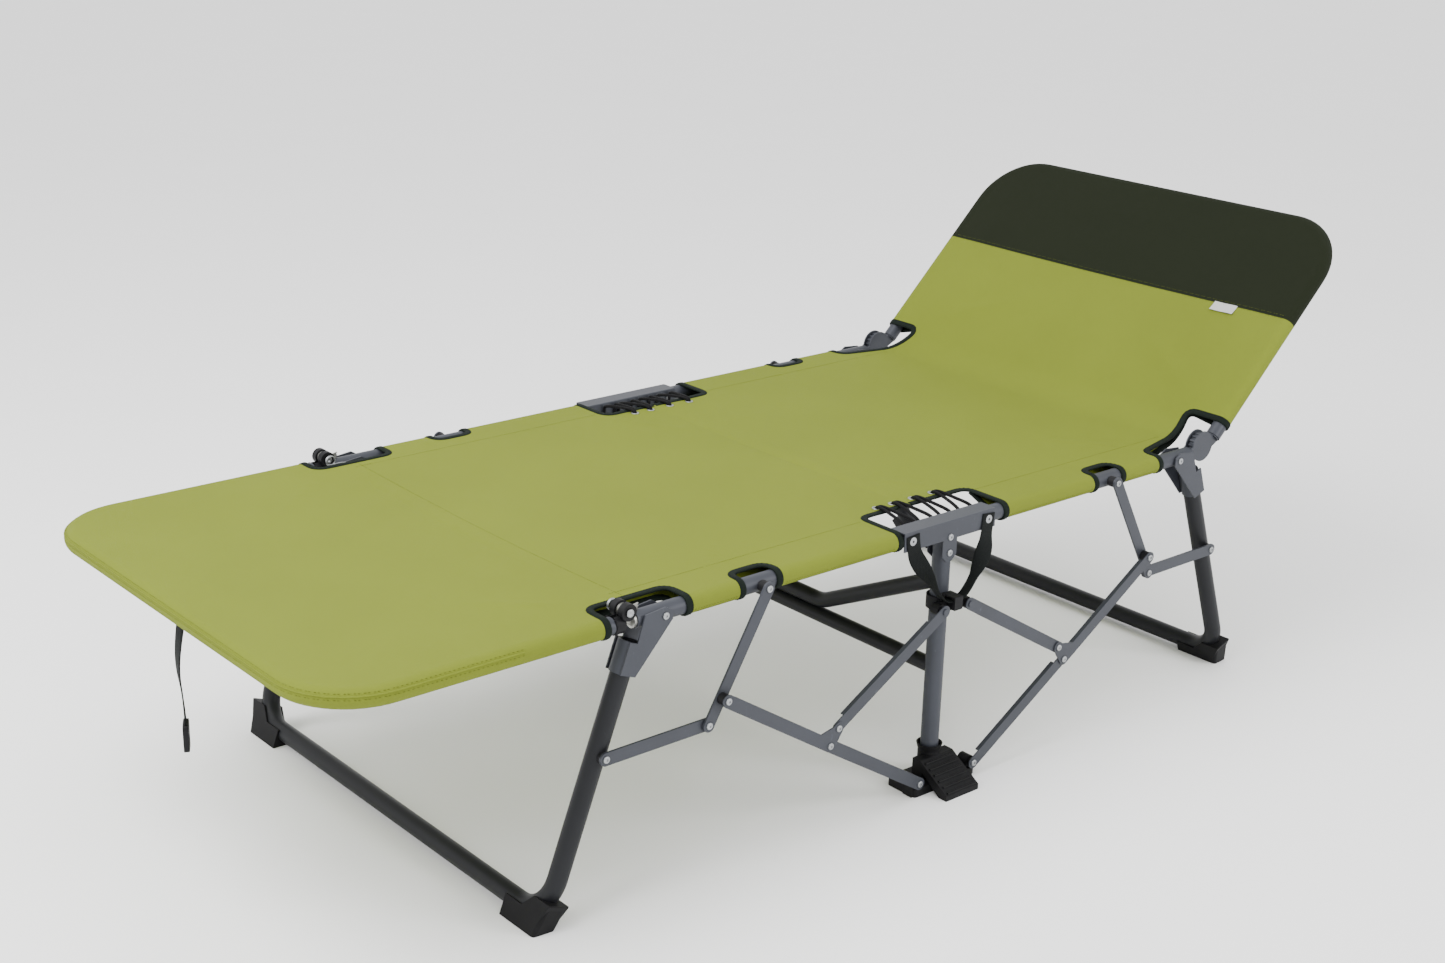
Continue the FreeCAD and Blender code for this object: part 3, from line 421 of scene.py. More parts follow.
def stitched(line, normals, pitch):
    """Stitches along a line of points."""
    parts, at = [], 0.0
    for p, q, n in zip(line, line[1:], normals):
        run = (q - p).length
        while at + pitch * STITCH_SHARE <= run:
            parts.append(stitch_shape(p + (q - p) * (at / run),
                                      p + (q - p) * ((at + pitch * STITCH_SHARE) / run), n.normalized()))
            at += pitch
        at = max(at - run, 0.0)
    return parts


# ---- materials
def blank(name):
    """A new material, its node tree and its shader."""
    material = bpy.data.materials.new(name)
    material.use_nodes = True
    return material, material.node_tree, material.node_tree.nodes["Principled BSDF"]


def maths(tree, operation, *values):
    """The result of a maths node; each value is a number or the output of another node."""
    node = tree.nodes.new("ShaderNodeMath")
    node.operation = operation
    for socket, value in zip(node.inputs, values):
        if isinstance(value, (int, float)):
            socket.default_value = value
        else:
            tree.links.new(value, socket)
    return node.outputs[0]


def grain(tree, scale, detail, vector=None, stretch=None):
    """A noise texture, in the object's own coordinates in metres unless it is given a vector."""
    if vector is None:
        vector = tree.nodes.new("ShaderNodeTexCoord").outputs["Object"]
    if stretch:
        mapping = tree.nodes.new("ShaderNodeMapping")
        mapping.inputs["Scale"].default_value = stretch
        tree.links.new(vector, mapping.inputs["Vector"])
        vector = mapping.outputs[0]
    texture = tree.nodes.new("ShaderNodeTexNoise")
    texture.inputs["Scale"].default_value = scale
    texture.inputs["Detail"].default_value = detail
    tree.links.new(vector, texture.inputs["Vector"])
    return texture.outputs["Fac"]


def times(colour, share):
    return tuple(min(c * share, 1.0) for c in colour)


def shades(tree, factor, colour, *stops):
    """A ramp over shares of one colour; each stop is a place on the ramp and a share."""
    ramp = tree.nodes.new("ShaderNodeValToRGB")
    tree.links.new(factor, ramp.inputs["Fac"])
    elements = ramp.color_ramp.elements
    while len(elements) < len(stops):
        elements.new(0.5)
    for element, (place, share) in zip(elements, stops):
        element.position = place
        element.color = (*times(colour, share), 1.0)
    return ramp.outputs["Color"]


def roughened(tree, shader, factor, spread, base):
    """Roughness that follows a texture."""
    tree.links.new(maths(tree, "MULTIPLY_ADD", factor, spread, base), shader.inputs["Roughness"])


def bumped(tree, shader, height, strength, distance):
    bump = tree.nodes.new("ShaderNodeBump")
    bump.inputs["Strength"].default_value = strength
    bump.inputs["Distance"].default_value = distance
    tree.links.new(height, bump.inputs["Height"])
    tree.links.new(bump.outputs["Normal"], shader.inputs["Normal"])


DULL = 0.12                  # specular level of cloth and nylon


def woven(name, colour, pitch, sheen, rib=1.0, slubs=0.10, rough=0.82, relief=0.9):
    """Plain-woven cloth: two sets of yarns over and under, with slubs and slight fading."""
    material, tree, shader = blank(name)
    place = tree.nodes.new("ShaderNodeAttribute")
    place.attribute_name = "weave"
    spot = place.outputs["Vector"]
    split = tree.nodes.new("ShaderNodeSeparateXYZ")
    tree.links.new(spot, split.inputs[0])
    turns = 2 * math.pi / pitch
    warp = maths(tree, "SINE", maths(tree, "MULTIPLY", split.outputs[0], turns * rib))
    weft = maths(tree, "SINE", maths(tree, "MULTIPLY", split.outputs[1], turns))
    yarn = maths(tree, "MULTIPLY_ADD", maths(tree, "MULTIPLY", warp, weft), 0.5, 0.5)
    slub = grain(tree, 1.0, 3.0, spot, (900.0, 60.0, 1.0))
    slub_b = grain(tree, 1.0, 3.0, spot, (60.0, 900.0, 1.0))
    mixed = maths(tree, "ADD", maths(tree, "MULTIPLY", yarn, 0.30),
                  maths(tree, "MULTIPLY", maths(tree, "ADD", slub, slub_b), 0.22))
    mixed = maths(tree, "MULTIPLY_ADD", grain(tree, 5.0, 3.0, spot), 0.26, mixed)
    tree.links.new(shades(tree, mixed, colour, (0.2, 1 - 2.2 * slubs), (0.5, 1.0), (0.85, 1 + 2.0 * slubs)),
                   shader.inputs["Base Color"])
    shader.inputs["Sheen Weight"].default_value = sheen
    shader.inputs["Sheen Roughness"].default_value = 0.45
    shader.inputs["Sheen Tint"].default_value = (*times(colour, 1.6), 1.0)
    shader.inputs["Specular IOR Level"].default_value = DULL
    roughened(tree, shader, slub, 0.16, rough - 0.08)
    bumped(tree, shader, maths(tree, "MULTIPLY_ADD", slub, 0.6, yarn), relief, pitch * 0.28)
    return material


def coated(name, colour, rough, scuff, metallic, gloss):
    """Powder coat on steel: fine orange peel, dust and small scuffs that show brighter metal."""
    material, tree, shader = blank(name)
    dust = grain(tree, 14.0, 5.0)
    marks = grain(tree, 1.0, 6.0, None, (260.0, 38.0, 90.0))
    worn = shades(tree, marks, (1, 1, 1), (0.66, 0), (0.80, 1))
    mix = tree.nodes.new("ShaderNodeMix")
    mix.data_type = "RGBA"
    tree.links.new(maths(tree, "MULTIPLY", worn, scuff), mix.inputs["Factor"])
    tree.links.new(shades(tree, dust, colour, (0.3, 0.86), (0.7, 1.12)), mix.inputs["A"])
    mix.inputs["B"].default_value = (*times(colour, 2.6), 1.0)
    tree.links.new(mix.outputs["Result"], shader.inputs["Base Color"])
    shader.inputs["Metallic"].default_value = metallic
    shader.inputs["Specular IOR Level"].default_value = gloss
    roughened(tree, shader, dust, 0.16, rough - 0.08)
    bumped(tree, shader, grain(tree, 1500.0, 2.0), 0.22, 0.0002)
    return material


def plated(name, colour, rough):
    """Zinc plate: brushed, with cloudy patches."""
    material, tree, shader = blank(name)
    brush = grain(tree, 1.0, 3.0, None, (2600.0, 300.0, 300.0))
    tree.links.new(shades(tree, grain(tree, 160.0, 4.0), colour, (0.3, 0.82), (0.7, 1.08)),
                   shader.inputs["Base Color"])
    shader.inputs["Metallic"].default_value = 1.0
    roughened(tree, shader, brush, 0.22, rough - 0.1)
    bumped(tree, shader, brush, 0.15, 0.0001)
    return material


def moulded(name, colour, rough):
    """Moulded nylon: spark-eroded grain, slight sheen and scuffed highs."""
    material, tree, shader = blank(name)
    broad = grain(tree, 40.0, 4.0)
    tree.links.new(shades(tree, broad, colour, (0.35, 0.8), (0.75, 1.5)), shader.inputs["Base Color"])
    shader.inputs["Specular IOR Level"].default_value = DULL
    roughened(tree, shader, broad, 0.2, rough - 0.1)
    bumped(tree, shader, grain(tree, 2200.0, 3.0), 0.3, 0.00015)
    return material


def finish(context):
    """The cot's finishes, made once and kept by name."""
    cloth, metal = context.scene.cot_cloth, context.scene.cot_frame
    deck, band, binding = tuple(cloth.deck_colour), tuple(cloth.band_colour), tuple(cloth.binding_colour)
    recipes = {
        "deck_cloth": (woven, deck, cloth.yarn_pitch, 0.05),
        "head_band_cloth": (woven, band, cloth.yarn_pitch, 0.02),
        "binding_tape": (woven, binding, 0.0016, 0.10, 0.45),
        "thread": (woven, times(deck, 0.62), 0.0008, 0.1),
        "binding_thread": (woven, times(binding, 1.5), 0.0008, 0.1),
        "webbing": (woven, (0.0040, 0.0052, 0.0050), 0.0022, 0.06, 0.5, 0.14, 0.7, 1.0),
        "elastic": (woven, (0.0035, 0.0035, 0.0040), 0.0011, 0.05, 1.0, 0.14, 0.7),
        "label": (woven, (0.45, 0.45, 0.44), 0.0006, 0.1, 1.0, 0.03),
        "powder_coat": (coated, tuple(metal.tube_colour), 0.46, 0.35, 0.18, 0.28),
        # legs, brace and crossbar: dark coat, its colour darkened further as painted shade
        "leg_coat": (coated, tuple(metal.leg_colour_with_painted_shade), 0.46, 0.30, 0.0, 0.17),
        "zinc_rivets": (plated, (0.33, 0.34, 0.35), 0.42),
        "zinc_sheet": (plated, (0.30, 0.30, 0.28), 0.42),
        "black_nylon": (moulded, (0.007, 0.007, 0.008), 0.52),
        "foot_nylon": (moulded, (0.0055, 0.0055, 0.006), 0.58),
    }
    return {name: bpy.data.materials.get(name) or maker(name, *values)
            for name, (maker, *values) in recipes.items()}


# ---- settings
def colour_setting(name, description, default):
    return FloatVectorProperty(name=name, description=description, subtype="COLOR", default=default,
                               min=0.0, max=1.0)


def length_setting(name, description, default, low, high):
    return FloatProperty(name=name, description=description, default=default, min=low, max=high,
                         precision=4, unit="LENGTH")


def power_setting(name, description, default):
    return IntProperty(name=name, description=description, default=default, min=0, max=2000)


class CotClothSettings(bpy.types.PropertyGroup):
    deck_colour: colour_setting("Deck colour", "Colour of the deck cloth", (0.148, 0.180, 0.019))
    band_colour: colour_setting("Band colour", "Colour of the band at the head end",
                                (0.0085, 0.0115, 0.0045))
    binding_colour: colour_setting("Binding colour", "Colour of the bound notches",
                                   (0.0045, 0.0080, 0.0055))
    yarn_pitch: length_setting("Yarn pitch", "Distance between two yarns of the weave",
                               0.0013, 0.0004, 0.004)
    band_width: length_setting("Band width", "Dark band along the head end, to its end bar",
                               0.172, 0.05, 0.3)
    binding_width: length_setting("Binding width", "Tape that shows on each face at a notch",
                                  0.0088, 0.004, 0.015)
    stitch_pitch: length_setting("Stitch pitch", "Distance from one stitch to the next",
                                 0.0042, 0.002, 0.01)
    row_step: length_setting("Row step", "Distance between the cover's rows of points",
                             0.007, 0.003, 0.03)


class CotFrameSettings(bpy.types.PropertyGroup):
    tube_colour: colour_setting("Frame colour", "Powder coat of rails and links", (0.034, 0.037, 0.046))
    # leg colour: dark paint, made darker still as painted shade on the legs, brace and crossbar
    leg_colour_with_painted_shade: colour_setting("Leg colour", "Powder coat of the legs", (0.0110, 0.0116, 0.0135))
    lace_radius: length_setting("Lace radius", "Radius of the elastic lacing", 0.0023, 0.0008, 0.003)
    eyelet_radius: length_setting("Eyelet radius", "Outer radius of the eyelets", 0.0062, 0.003, 0.01)


class CotStageSettings(bpy.types.PropertyGroup):
    floor_colour: colour_setting("Floor colour", "Colour of the floor", (0.93, 0.93, 0.93))
    floor_size: length_setting("Floor size", "Side of the floor", 60.0, 5.0, 200.0)
    lens: FloatProperty(name="Lens", description="Focal length of the camera, in millimetres",
                        default=51.44, min=20.0, max=200.0)
    key_power: power_setting("Key power", "Power of the front lamp at the head end, in watts", 60)
    top_power: power_setting("Top power", "Power of the wide lamp overhead, in watts", 130)
    room_light: FloatProperty(name="Room light", description="Strength of the white surroundings",
                              default=1.7, min=0.0, max=10.0)


# ---- the cover
COVER_SPAN = {"foot": (-FOOT_END, -SPLIT), "foot_centre": (-SPLIT, 0.0), "head_centre": (0.0, SPLIT),
              "head": (SPLIT, HEAD_END)}
COVER_NODES = {"foot": ("cover_foot_end", "cover_foot_half"), "foot_centre": ("cover_foot_half",),
               "head_centre": ("cover_head_half",), "head": ("cover_head_half", "cover_head_end")}


def joined(piece):
    """Bakes a piece of the cover's placement into its mesh."""
    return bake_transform(piece)


EDGE_ROWS = (-0.0055, -0.0035, -0.0018, 0.0018, 0.0035, 0.0055)    # extra rows beside a notch's ends


def rows_between(a, b, step):
    """Cover rows, closer together near the notches."""
    marks = sorted({a, b} | {x for n in NOTCHES.values() for x in n[:2] if a < x < b})
    rows = [a]
    for start, stop in zip(marks, marks[1:]):
        count = max(int(math.ceil((stop - start) / step)), 2)
        rows += [start + (stop - start) * k / count for k in range(1, count + 1)]
    ordered = sorted(set(rows) | {mark + d for mark in marks[1:-1] for d in EDGE_ROWS if a < mark + d < b})
    return [x for x, before in zip(ordered, [a - 1] + ordered) if x - before > 0.0008]


SLEEVE_U = ([-SEAM, -0.0545, -0.0525, -0.05, -0.046, -0.041, -0.036, -0.0335, -0.031, -0.028, -0.0255,
             -0.023, -0.02, -0.016, -0.012, -0.008, -0.004, 0.0]
            + [ARC_END * k / 14 for k in range(1, 15)] + [ARC_END + LOWER * k / 12 for k in range(1, 13)])
BAR_ROWS = 44                # stretches of cloth along an end bar
NO_BAND = 9.0                # farther out than any cloth


def end_path(end, x_start, x_end, step):
    """One side's way to the end bar: points of the tube axis in cover coordinates, and outward normals."""
    corner_x, corner_y = x_end - CORNER, RAIL_Y - CORNER
    low, high = sorted((end * x_start, end * corner_x))
    leg = [((abs(x), RAIL_Y), (0.0, 1.0)) for x in rows_between(low, high, step)[::end]]
    turns = [math.pi / 2 * k / 14 for k in range(1, 15)]
    return leg + [((corner_x + CORNER * math.sin(a), corner_y + CORNER * math.cos(a)),
                   (math.sin(a), math.cos(a))) for a in turns]


def round_end(half):
    """The whole way round an end section: one side mirrored, the bar, and the other side back."""
    x_bar, y_bar = half[-1][0]
    bar = [((x_bar, -y_bar + 2 * y_bar * k / BAR_ROWS), (1.0, 0.0)) for k in range(1, BAR_ROWS)]
    return [((x, -y), (nx, -ny)) for (x, y), (nx, ny) in half] + bar + half[::-1]


def cover_end(end, x_end, step, band_from):
    """An end section with its sleeve round the U frame: (points, faces), cloth coordinates, materials."""
    half = end_path(end, SPLIT, x_end, step)
    path, last = round_end(half), len(half) - 1
    points, weave, faces, which = [], [], [], []
    for (px, py), (nx, ny) in path:
        for u in SLEEVE_U:
            out, h, _, _ = sleeve(u)
            x, y = px + nx * out, py + ny * out
            points.append(on_bed(end * x, y, h + (ripple(end * x, y) if u <= 0 else 0.0)))
            weave.append((end * (px + nx * u), py + ny * u))
    wide = len(SLEEVE_U)
    for k, (((px, _), (nx, _)), ((qx, _), (mx, _))) in enumerate(zip(path, path[1:])):
        for j, (u0, u1) in enumerate(zip(SLEEVE_U, SLEEVE_U[1:])):
            u = (u0 + u1) / 2
            if nx == mx == 0 and is_cut(end * (px + qx) / 2, u):
                continue
            a, b = k * wide + j, (k + 1) * wide + j
            faces.append((a, a + 1, b + 1, b))
            which.append(int((px + qx) / 2 + nx * sleeve(u)[0] > band_from))
    rows = []
    for k in range(last + 1):
        x, y = path[k][0][0] - path[k][1][0] * SEAM, path[k][0][1] - path[k][1][1] * SEAM
        row = [k * wide]
        for c in range(1, BAR_ROWS):
            if k == last:
                row.append((last + c) * wide)
                continue
            yy = y + (-2 * y) * c / BAR_ROWS
            row.append(len(points))
            points.append(on_deck(end * x, yy))
            weave.append((end * x, yy))
        row.append((len(path) - 1 - k) * wide)
        rows.append((x, row))
    for (x0, row), (x1, after) in zip(rows, rows[1:]):
        for c in range(BAR_ROWS):
            faces.append((row[c], after[c], after[c + 1], row[c + 1]))
            which.append(int((x0 + x1) / 2 > band_from))
    return (points, faces if end < 0 else [face[::-1] for face in faces]), weave, which


def cover_straight(x_start, x_end, step):
    """A straight stretch between the two rails: (points, faces), cloth coordinates."""
    inner = RAIL_Y - SEAM
    close = [inner - d for d in (0.0012, 0.003, 0.0045, 0.006, 0.008, 0.0095, 0.011, 0.014, 0.02, 0.03)]
    flat = [close[-1] * k / 18 for k in range(-18, 19)]
    ys = sorted(flat + [-y for y in close[:-1]] + close[:-1])
    columns = [(-1, u) for u in reversed(SLEEVE_U)] + [(0, y) for y in ys] + [(1, u) for u in SLEEVE_U]
    rows = rows_between(x_start, x_end, step)
    points, weave, faces = [], [], []
    for x in rows:
        for side, v in columns:
            if side:
                points.append(on_sleeve(x, v, side))
                weave.append((x, side * (RAIL_Y + v)))
            else:
                points.append(on_deck(x, v))
                weave.append((x, v))
    wide = len(columns)
    for i, (x0, x1) in enumerate(zip(rows, rows[1:])):
        for j, ((s0, v0), (s1, v1)) in enumerate(zip(columns, columns[1:])):
            u0 = v0 if s0 else abs(v0) - RAIL_Y
            u1 = v1 if s1 else abs(v1) - RAIL_Y
            if is_cut((x0 + x1) / 2, (u0 + u1) / 2):
                continue
            a, b = i * wide + j, (i + 1) * wide + j
            faces.append((a, b, b + 1, a + 1))
    return (points, faces), weave, None


class COT_OT_cover(bpy.types.Operator):
    """Makes the cloth deck in four pieces, turned up over the head hinge, with sleeves round the tubes"""

    bl_idname = "cot.cover"
    bl_label = "Cover"

    def execute(self, context):
        cloth = context.scene.cot_cloth
        made = finish(context)
        for part, (first, last) in COVER_SPAN.items():
            if part == "foot":
                shape, weave, which = cover_end(-1, FOOT_END, cloth.row_step, NO_BAND)
            elif part == "head":
                shape, weave, which = cover_end(1, HEAD_END, cloth.row_step, HEAD_END - cloth.band_width)
            else:
                shape, weave, which = cover_straight(first, last, cloth.row_step)
            piece = new_piece(f"deck_{part}", shape, [made["deck_cloth"], made["head_band_cloth"]],
                              "green_fabric", weave, which)
            piece = thickened(piece, CLOTH_T)
            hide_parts(*COVER_NODES[part])
            joined(piece)
        return {"FINISHED"}


# ---- bindings and seams
TAPE = ((1.0, 0.0004), (0.93, 0.0013), (0.6, 0.0018), (0.2, 0.0019), (-0.04, 0.0014), (-0.13, 0.0),
        (-0.04, -0.0014), (0.2, -0.0018), (0.6, -0.0016), (0.93, -0.0012), (1.0, -0.0004))


def outward(outline, i):
    """The direction from a notch into the cloth at a point of its outline."""
    along = (outline[(i + 1) % len(outline)] - outline[i - 1]).normalized()
    middle_point = sum(outline, Vector((0, 0))) / len(outline)
    normal = Vector((along.y, -along.x))
    return normal if normal.dot(outline[i] - middle_point) > 0 else -normal


def binding_runs(name, part):
    """The stretches of a notch's outline that lie on this part of the cover."""
    first, last = COVER_SPAN[part]
    outline = OUTLINES[name]
    keep = [first - 1e-6 <= p.x <= last + 1e-6 and p.y <= SLEEVE_END + 1e-4 for p in outline]
    if all(keep):
        return [list(range(len(outline)))], True
    runs, run = [], []
    start = keep.index(False)
    for i in range(start, start + len(outline) + 1):
        i %= len(outline)
        if keep[i]:
            run.append(i)
        elif run:
            runs.append(run)
            run = []
    return runs, False


TAPE_SEWN = 0.78             # the row of stitches, as a share of the tape's width
TAPE_SHY = 0.0002            # the tape stops this far short of the sleeve's end


def beside(p, away, w):
    """The place on the sleeve w metres into the cloth from a point of a notch."""
    return p.x + away.x * w, min(p.y + away.y * w, SLEEVE_END - TAPE_SHY)


def tape_along(outline, run, side, width):
    """The tape's sections along part of a notch, its cloth coordinates, and its line of stitches."""
    sections, weave, line, normals, travel = [], [], [], [], 0.0
    for n, i in enumerate(run):
        p, away = outline[i], outward(outline, i)
        if n:
            travel += (p - outline[run[n - 1]]).length
        section = [Vector(on_sleeve(*beside(p, away, share * width), side, off)) for share, off in TAPE]
        weave += [(travel, share * width) for share, _ in TAPE]
        sections.append(section if side > 0 else section[::-1])
        spot = beside(p, away, width * TAPE_SEWN)
        line.append(Vector(on_sleeve(*spot, side, 0.0016)))
        normals.append(Vector(on_sleeve(*spot, side, 0.0026)) - line[-1])
    return sections, weave, line, normals


def sewn(name, rows, material):
    """The stitches on one part of the cover, as one piece."""
    shape = gathered(rows)
    joined(new_piece(name, shape, [material], "green_fabric", [(p[0], p[1]) for p in shape[0]]))


class COT_OT_bindings(bpy.types.Operator):
    """Binds the notches with folded tape and one row of stitches"""

    bl_idname = "cot.bindings"
    bl_label = "Bound notches"

    def execute(self, context):
        cloth = context.scene.cot_cloth
        made = finish(context)
        for part in COVER_SPAN:
            tapes, weave, rows = [], [], []
            for side in (-1, 1):
                for name, outline in OUTLINES.items():
                    runs, closed = binding_runs(name, part)
                    for run in (run for run in runs if len(run) > 2):
                        sections, places, line, normals = tape_along(outline, run, side, cloth.binding_width)
                        weave += places
                        tapes.append(loft(sections, ring=closed))
                        if closed:
                            line.append(line[0])
                            normals.append(normals[0])
                        rows += stitched(line, normals, cloth.stitch_pitch)
            if tapes:
                tape = new_piece(f"binding_{part}", gathered(tapes), [made["binding_tape"]], "green_fabric",
                                 weave)
                joined(tape)
                sewn(f"binding_stitches_{part}", rows, made["binding_thread"])
        return {"FINISHED"}


def clear_runs(first, last, u):
    """Stretches of a line along the sleeve that miss the notches."""
    runs, run = [], []
    count = max(int(abs(last - first) / 0.012), 2)
    for k in range(count + 1):
        x = first + (last - first) * k / count
        if any(is_cut(x, u + away) for away in (0, 0.004, -0.004)):
            if len(run) > 1:
                runs.append(run)
            run = []
        else:
            run.append(x)
    return runs + ([run] if len(run) > 1 else [])


SEAM_ROW = 0.0025 - SEAM     # stitches just outside the sleeve seam
LOW_ROWS = (0.0235, 0.0270)  # stitches low on the sleeves
BAND_ROWS = (-0.0035, 0.0025)    # stitches on both sides of the head band's edge
HEM_ROWS = (0.0105, 0.0172)  # stitches on both sides of the piping
HEM_U = 0.0138               # the piped hem of the foot end, round the sleeve from its top
PIPING_R = 0.0011


def hem_line(u, off):
    """A line round the foot end's sleeve, with the outward direction at each of its points."""
    route = round_end(end_path(-1, FOOT_END - CORNER - 0.16, FOOT_END, 0.006))
    out, h, n_out, n_up = sleeve(u)
    lines = []
    for away in (off, 2 * off):
        reach = out + away * n_out
        lines.append([Vector(on_bed(-(px + nx * reach), py + ny * reach, h + away * n_up))
                      for (px, py), (nx, ny) in route])
    return lines[0], [q - p for p, q in zip(*lines)]


class COT_OT_seams(bpy.types.Operator):
    """Sews the sleeves, hems and the head band with rows of stitches"""

    bl_idname = "cot.seams"
    bl_label = "Seams"

    def execute(self, context):
        cloth = context.scene.cot_cloth
        made = finish(context)
        lift = CLOTH_T / 2
        spans = {"foot": (FOOT_HINGE[0] - CENTRE_X + 0.02, COVER_SPAN["foot"][1]), "head": (SPLIT, BEND_X)}
        for part, span in COVER_SPAN.items():
            rows = []

            def sew(places, above):
                rows.extend(stitched(places, above, cloth.stitch_pitch))

            def sew_along(spot, line):
                places = [Vector(spot(*at, lift)) for at in line]
                sew(places, [Vector(spot(*at, 2 * lift)) - p for at, p in zip(line, places)])

            start, stop = spans.get(part, span)
            for side in (-1, 1):
                for run in clear_runs(start, stop, SEAM_ROW):
                    sew_along(on_deck, [(x, side * (RAIL_Y + SEAM_ROW)) for x in run])
                for u in LOW_ROWS:
                    for run in clear_runs(start, stop, u):
                        sew_along(on_sleeve, [(x, u, side) for x in run])
            if part == "head":
                wide = RAIL_Y - 0.002
                for away in BAND_ROWS:
                    x = HEAD_END - cloth.band_width + away
                    sew_along(on_deck, [(x, -wide + 2 * wide * k / 60) for k in range(61)])
            if part == "foot":
                x = FOOT_HINGE[0] - CENTRE_X + 0.03
                wide = RAIL_Y - NOTCHES["foot_hinge"][2] - 0.012
                sew_along(on_deck, [(x, -wide + 2 * wide * k / 50) for k in range(51)])
                for u in HEM_ROWS:
                    sew(*hem_line(u, lift))
                places, _ = hem_line(HEM_U, lift + 0.0002)
                piping = line_piece("foot_hem_piping", [places], PIPING_R, made["deck_cloth"],
                                    "green_fabric", 3)
                lay_weave(piping)
                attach(piping, "foot_section")
            sewn(f"stitches_{part}", rows, made["thread"])
        return {"FINISHED"}


LABEL_WIDE, LABEL_DEEP, LABEL_T, LABEL_Y = 0.042, 0.017, 0.0004, -RAIL_Y + 0.105


class COT_OT_label(bpy.types.Operator):
    """Sews a small blank label into the seam of the head band"""

    bl_idname = "cot.label"
    bl_label = "Blank label"

    def execute(self, context):
        made = finish(context)
        cloth = context.scene.cot_cloth
        x0 = HEAD_END - cloth.band_width - 0.001
        points, weave = [], []
        for i in range(9):
            for j in range(7):
                x, y = x0 - LABEL_DEEP * i / 8, LABEL_Y + LABEL_WIDE * (j / 6 - 0.5)
                points.append(on_deck(x, y, 0.0009 + 0.0022 * (i / 8) ** 2 + 0.0004 * math.sin(j * 1.3)))
                weave.append((x, y))
        faces = [(a, a + 1, a + 8, a + 7) for a in (i * 7 + j for i in range(8) for j in range(6))]
        tag = new_piece("blank_label", (points, faces), [made["label"]], "green_fabric", weave)
        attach(thickened(tag, LABEL_T), "head_section")
        return {"FINISHED"}


# ---- eyelets and lacing
EYELETS = (-0.045, -0.015, 0.022, 0.060)
EYELET_IN = 0.0180           # eyelet from the bound edge of the notch


class COT_OT_lacing(bpy.types.Operator):
    """Sets metal eyelets in the centre notches and laces them to the channels"""

    bl_idname = "cot.lacing"
    bl_label = "Eyelets and lacing"

    def execute(self, context):
        made = finish(context)
        settings = context.scene.cot_frame
        y_eye = RAIL_Y - NOTCHES["centre"][2] - EYELET_IN
        y_out = RAIL_Y - CHANNEL_OUT - settings.lace_radius - 0.0002
        z_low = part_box("lacing")[0][2] + 0.001
        rings, laces = [], []
        for side in (-1, 1):
            for n, x in enumerate(EYELETS):
                h = ripple(x, side * y_eye)
                for face in (1, -1):
                    place = on_bed(x, side * y_eye, h + face * 0.0008)
                    rings.append(ring_shape(place, (0, 0, 1), settings.eyelet_radius,
                                            settings.eyelet_radius * 0.52, 0.0008))
                for lean in (-1, 1):
                    far = x + lean * (0.010 + 0.002 * (n % 2))
                    z = CLOTH_Z + h
                    route = ((x + lean * 0.0012, y_eye - 0.001, z - 0.006),
                             (x + lean * 0.0012, y_eye + 0.0005, z + 0.0024),
                             (x + lean * 0.003, y_eye + 0.008, z + 0.0052),
                             ((x + far) / 2, (y_eye + y_out) / 2, z + 0.0030),
                             (far, y_out - 0.004, z - 0.001), (far, y_out, z - 0.006),
                             (far, y_out, z_low + 0.006), (far, y_out + 0.001, z_low))
                    laces.append([(CENTRE_X + px, side * py, pz) for px, py, pz in route])
        eyelets = new_piece("eyelets", gathered(rings), [made["zinc_rivets"]], "zinc_rivet")
        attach(eyelets, "centre_frame")
        lace = line_piece("laces", laces, settings.lace_radius, made["elastic"], "black_cord", 3)
        lay_weave(lace)
        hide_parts("lacing")
        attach(lace, "centre_frame")
        return {"FINISHED"}


def lay_weave(piece):
    """Gives a piece cloth coordinates from its own places."""
    mesh = piece.data
    layer = mesh.attributes.get("weave") or mesh.attributes.new("weave", "FLOAT_VECTOR", "POINT")
    places = np.empty(len(mesh.vertices) * 3, np.float32)
    mesh.vertices.foreach_get("co", places)
    places = places.reshape(-1, 3)
    flat = np.stack([places[:, 0] + places[:, 2], places[:, 1], np.zeros(len(places))], 1)
    layer.data.foreach_set("vector", flat.astype(np.float32).ravel())


# ---- webbing
def followed(points, steps):
    """Points along a smooth curve with these control points."""
    curve = bpy.data.curves.new("followed", "CURVE")
    curve.dimensions = "3D"
    add_spline(curve, points, steps)
    holder = bpy.data.objects.new("followed", curve)
    line = [v.co.copy() for v in bpy.data.meshes.new_from_object(holder).vertices]
    bpy.data.objects.remove(holder)
    return line


STRAP_RIM = ((-1, 0), (-0.93, 0.8), (-0.5, 1.0), (0, 1.0), (0.5, 1.0), (0.93, 0.8), (1, 0), (0.93, -0.8),
             (0.5, -1.0), (0, -1.0), (-0.5, -1.0), (-0.93, -0.8))


def webbing(name, line, facings, widths, thickness, material):
    """A flat strap along a line; each facing is the direction of its width there."""
    thin = thickness / 2
    sections, weave, travel = [], [], 0.0
    for i, (place, wide, width) in enumerate(zip(line, facings, widths)):
        half = width / 2
        along = (line[min(i + 1, len(line) - 1)] - line[max(i - 1, 0)]).normalized()
        wide = (wide - along * wide.dot(along)).normalized()
        normal = along.cross(wide)
        if i:
            travel += (line[i] - line[i - 1]).length
        sections.append([place + wide * (a * half) + normal * (b * thin) for a, b in STRAP_RIM])
        weave += [(travel, a * half) for a, _ in STRAP_RIM]
    return new_piece(name, loft(sections), [material], "black_webbing", weave)


STRAP_WIDE, LOOP_WIDE = 0.0235, 0.0150    # carry strap at the rails, and bunched in the collar's loop
WEBBING_T = 0.0015           # thickness of the carry straps


